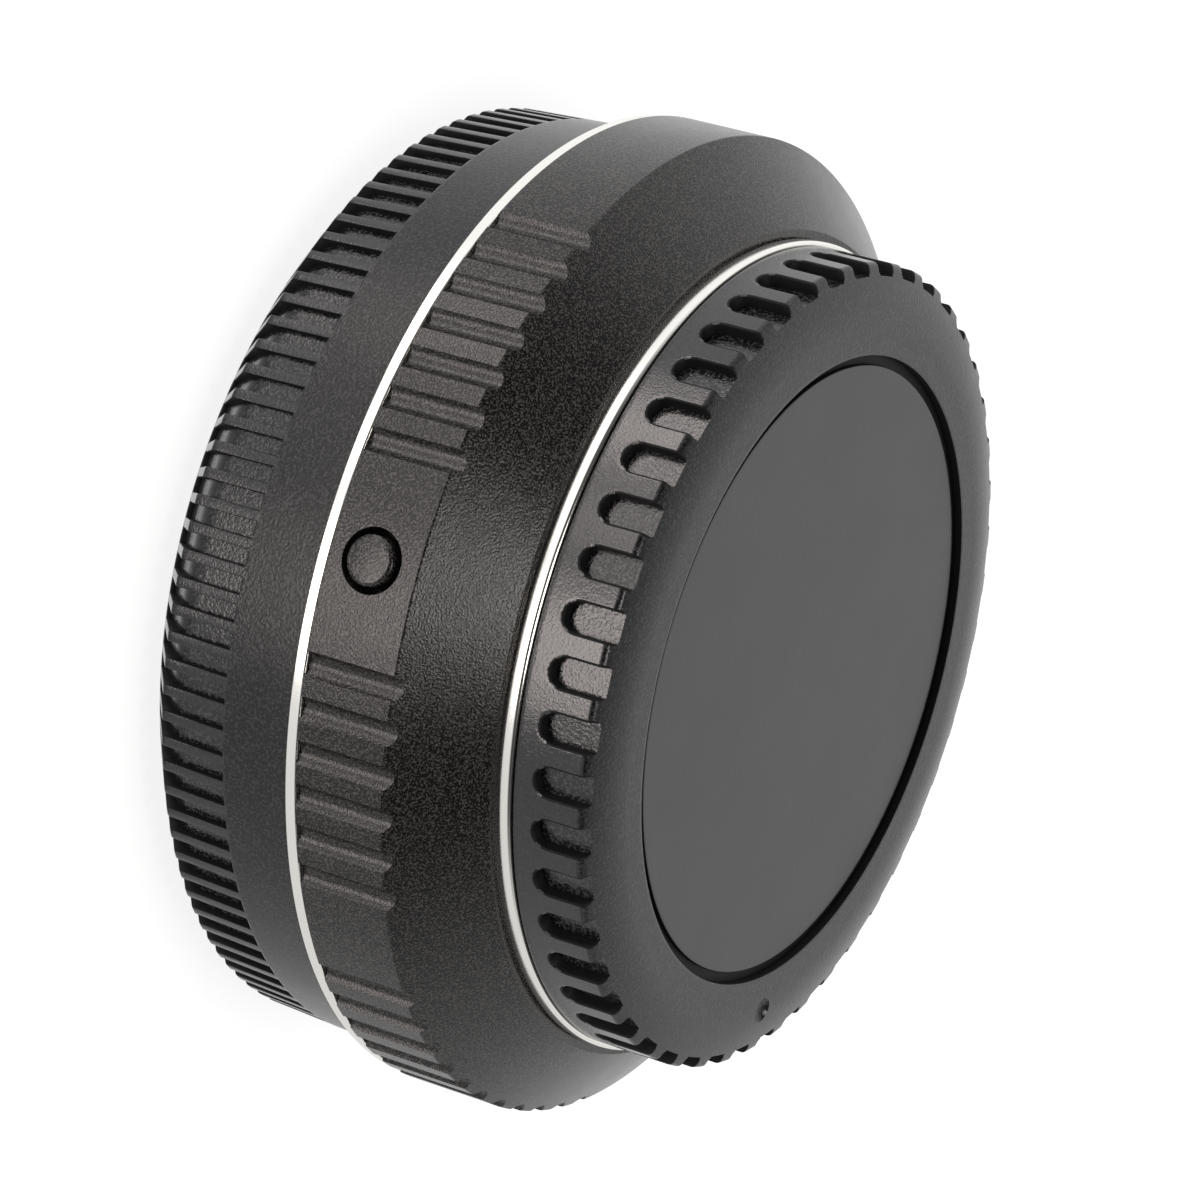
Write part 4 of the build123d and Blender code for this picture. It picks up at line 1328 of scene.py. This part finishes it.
@dataclass
class CameraMount:
    """Chrome bayonet on the camera side, seen as a thin bright line behind the housing."""

    bore: float = 30.6
    cylinder: float = 32.4
    land: float = 38.4
    land_height: float = 15.55
    plate_low: float = 16.05
    plate_high: float = 17.05
    boss: float = 34.95
    boss_width: float = 1.75
    boss_gap_arc: float = 16.0
    boss_gap_margin: float = 0.3
    tab_radius: float = 34.2
    tab_low: float = 11.4
    tab_high: float = 12.9
    tab_arc: float = 50.0
    screw_circle: float = 36.6
    screw_bore: float = 0.97
    screw_head: float = 1.72
    socket_circle: float = 35.4
    socket_angle: float = 150.0
    socket_radius: float = 1.1
    socket_depth: float = 1.05
    edge_fillet: float = 0.08
    upper_fillet: float = 0.2
    columns: int = 360

    def __post_init__(self) -> None:
        """Takes the heights and the radius from the CAD node."""
        self.foot, self.top, self.plate = node_span("camera_mount")

    def cutters(self) -> BMesh:
        """Makes the screw holes, the lock pin's socket and the gap in the register boss.

        Returns:
            Cutters in millimetres.
        """
        mesh = bmesh.new()
        drill(mesh, BAYONET.screw_places(self.screw_circle), self.screw_bore, self.land_height,
              self.top + OVERCUT, self.screw_head, head_up=False)
        drill(mesh, [spot(self.socket_circle, self.socket_angle, 0)], self.socket_radius,
              self.land_height - OVERCUT, self.land_height + self.socket_depth)
        near, far = self.boss - self.boss_width - self.boss_gap_margin, self.boss + self.boss_gap_margin
        low, high = self.plate_high, self.top + OVERCUT
        corners = [(near, low), (far, low), (far, high), (near, high)]
        gap = mesh.faces.new([mesh.verts.new(spot(radius, -self.boss_gap_arc / 2, height))
                              for radius, height in corners])
        bmesh.ops.spin(mesh, geom=[gap, *gap.edges, *gap.verts], cent=(0, 0, 0), axis=(0, 0, 1),
                       angle=math.radians(self.boss_gap_arc), steps=int(self.boss_gap_arc))
        return mesh

    def build(self) -> bpy.types.Object:
        """Models the mount and dresses it.

        Returns:
            The finished piece.
        """
        boss_inner = self.boss - self.boss_width
        mesh = turned(rounded([
            Corner(self.bore, self.foot),
            Corner(self.cylinder, self.foot),
            Corner(self.cylinder, self.tab_low),
            Corner(self.cylinder, self.tab_high),
            Corner(self.cylinder, self.land_height),
            Corner(self.land, self.land_height),
            Corner(self.land, self.plate_low),
            Corner(self.plate, self.plate_low, self.edge_fillet),
            Corner(self.plate, self.plate_high, self.upper_fillet),
            Corner(self.boss, self.plate_high),
            Corner(self.boss, self.top),
            Corner(boss_inner, self.top),
            Corner(boss_inner, self.plate_high),
            Corner(self.bore, self.plate_high),
            Corner(self.bore, self.foot),
        ]), even_angles(self.columns))
        BAYONET.grow_tabs(mesh, self.cylinder, self.tab_radius, self.tab_low, self.tab_high, self.tab_arc)
        mount = as_object(mesh, "camera_bayonet_plate", (CHROME,))
        carve(mount, self.cutters())
        dress(mount, "housing", "camera_mount")
        return mount


class HiddenParts:
    """Screws, springs, contacts, baffle and circuit board inside, which keep their CAD shapes."""

    def dress(self) -> None:
        """Gives each carried-over CAD node the material of its slot."""
        made = {slot: finish.material() for slot, finish in HIDDEN_FINISHES.items()}
        for part in frame["record"]["subparts"]:
            piece = frame["nodes"][part["node"]]
            if part["material_slot"] in made:
                piece.data.materials.clear()
                piece.data.materials.append(made[part["material_slot"]])
                log.info("%s: %s", piece.name, part["material_slot"])


# Studio


@dataclass(frozen=True)
class Softbox:
    """A square lamp in the direction that a bright reflection in the photograph comes from."""

    name: str
    direction: tuple[float, float, float]
    width: float
    height: float
    power: float
    colour: str
    distance: float = 0.9


@dataclass
class Studio:
    """Camera, pale floor, white room with a dark ceiling, and softboxes."""

    camera_place: tuple[float, float, float] = (-0.01038, -0.40144, 0.22706)
    camera_right: tuple[float, float, float] = (-0.265201, 0.448224, 0.853677)
    camera_up: tuple[float, float, float] = (-0.963968, -0.104124, -0.244793)
    camera_back: tuple[float, float, float] = (-0.020834, -0.887836, 0.459687)
    lens: float = 160.5
    sensor: float = 36.0
    target: tuple[float, float, float] = (0.0, 0.0, 0.022)
    floor_size: float = 6.0
    floor_light: float = 0.86
    floor_shade: float = 0.35
    room: float = 1.05
    ceiling: float = 0.06
    ceiling_lean: float = 0.6
    ceiling_span: Point = (0.3, 0.95)
    dim_side: float = 0.7
    dim_span: Point = (-0.6, 0.7)
    pit: float = 0.5
    pit_span: Point = (-0.72, -0.6)
    back_span: Point = (0.0, 0.5)
    softboxes: tuple[Softbox, ...] = (
        Softbox("softbox_left", (-0.742, -0.567, -0.358), 0.36, 0.3, 1.4, "#fff3ee"),
        Softbox("softbox_between", (-0.38, -0.853, -0.358), 0.25, 0.3, 0.5, "#fff3ee"),
        Softbox("softbox_front", (0.183, -0.916, -0.358), 0.48, 0.3, 2.4, "#fff3ee"),
        Softbox("softbox_top", (0.02, -0.2, 0.98), 0.3, 0.36, 2.6, "#fffaf6"),
    )

    def camera(self) -> None:
        """Places the camera where the photograph was taken from."""
        data = bpy.data.cameras.new("photo_camera")
        data.lens, data.sensor_width = self.lens, self.sensor
        camera = bpy.data.objects.new("photo_camera", data)
        bpy.context.scene.collection.objects.link(camera)
        turn = Matrix((self.camera_right, self.camera_up, self.camera_back)).transposed()
        camera.matrix_world = Matrix.Translation(self.camera_place) @ turn.to_4x4()
        bpy.context.scene.camera = camera

    def floor(self) -> None:
        """Lays a pale floor that keeps the object's shadow and lets the room's light through."""
        mesh = bmesh.new()
        bmesh.ops.create_grid(mesh, x_segments=2, y_segments=2, size=self.floor_size / 2 / MM)
        floor = as_object(mesh, "floor")
        material, tree = blank_material("pale_paper")
        paper = add_node(tree, "ShaderNodeBsdfDiffuse", {"Color": (self.floor_shade,) * 3 + (1.0,)})
        glow = add_node(tree, "ShaderNodeEmission", {"Strength": self.floor_light})
        both = add_node(tree, "ShaderNodeAddShader", None, [paper.outputs["BSDF"], glow.outputs["Emission"]])
        add_node(tree, "ShaderNodeOutputMaterial", Surface=both.outputs["Shader"])
        floor.data.materials.append(material)
        floor.visible_diffuse = False
        floor.visible_glossy = False
        floor.visible_shadow = False

    def fall(self, tree: bpy.types.NodeTree, socket: bpy.types.NodeSocket, span: Point, levels: Point,
             course: str = "SMOOTHSTEP") -> bpy.types.NodeSocket:
        """Lets the room's light change along a direction.

        Args:
            tree: Node tree of the world.
            socket: Measure along the direction.
            span: Where the change starts and ends.
            levels: Light before and after it.
            course: How it goes between them.

        Returns:
            The light's level.
        """
        change = add_node(tree, "ShaderNodeMapRange", {
            "interpolation_type": course, "From Min": span[0], "From Max": span[1],
            "To Min": levels[0], "To Max": levels[1]}, Value=socket)
        return change.outputs["Result"]

    def world(self) -> None:
        """Surrounds the object with a white room that is dark overhead, and plain white behind the view."""
        world = bpy.data.worlds.new("white_room")
        bpy.context.scene.world = world
        world.use_nodes = True
        tree = world.node_tree
        tree.nodes.clear()
        way = add_node(tree, "ShaderNodeTexCoord").outputs["Generated"]
        axes = add_node(tree, "ShaderNodeSeparateXYZ", Vector=way).outputs
        lean = add_node(tree, "ShaderNodeMath", {"operation": "MULTIPLY_ADD"}, [axes["Y"], None, axes["Z"]])
        lean.inputs[1].default_value = -self.ceiling_lean
        level = self.fall(tree, lean.outputs["Value"], self.ceiling_span, (self.room, self.ceiling))
        across = self.fall(tree, axes["X"], self.dim_span, (1.0, self.dim_side), "LINEAR")
        raised = self.fall(tree, axes["Z"], self.pit_span, (self.pit, 1.0))
        behind = self.fall(tree, axes["Y"], self.back_span, (0.0, 1.0))
        lit = add_node(tree, "ShaderNodeMath", {"operation": "MAXIMUM"}, [raised, behind])
        shaded = add_node(tree, "ShaderNodeMath", {"operation": "MULTIPLY"}, [level, across])
        glow = add_node(tree, "ShaderNodeMath", {"operation": "MULTIPLY"},
                        [shaded.outputs["Value"], lit.outputs["Value"]])
        white = (1.0, 1.0, 1.0, 1.0)
        room = add_node(tree, "ShaderNodeBackground", {"Color": white}, Strength=glow.outputs["Value"])
        seen = add_node(tree, "ShaderNodeBackground", {"Color": white, "Strength": 1.0})
        path = add_node(tree, "ShaderNodeLightPath")
        both = add_node(tree, "ShaderNodeMixShader", None, [
            path.outputs["Is Camera Ray"], room.outputs["Background"], seen.outputs["Background"]])
        add_node(tree, "ShaderNodeOutputWorld", Surface=both.outputs["Shader"])

    def lamps(self) -> None:
        """Hangs the softboxes, each facing the object."""
        for box in self.softboxes:
            data = bpy.data.lights.new(box.name, "AREA")
            data.shape, data.size, data.size_y = "RECTANGLE", box.width, box.height
            data.energy, data.color = box.power, linear(box.colour)[:3]
            lamp = bpy.data.objects.new(box.name, data)
            bpy.context.scene.collection.objects.link(lamp)
            way = Vector(box.direction).normalized()
            lamp.location = Vector(self.target) + way * box.distance
            lamp.rotation_euler = way.to_track_quat("Z", "Y").to_euler()

    def build(self) -> None:
        """Sets the stage."""
        self.camera()
        self.floor()
        self.world()
        self.lamps()
        bpy.context.scene.view_settings.view_transform = "Standard"


def main() -> None:
    """Builds the pieces in order, then the studio round them."""
    logging.basicConfig(level=logging.INFO, format="%(name)s %(message)s")
    for piece in (Housing(), ReleaseButton(), LensMountRing(), CameraMount(), FrontCap(), RearCap()):
        piece.build()
    HiddenParts().dress()
    Studio().build()


if __name__ == "__main__":
    main()
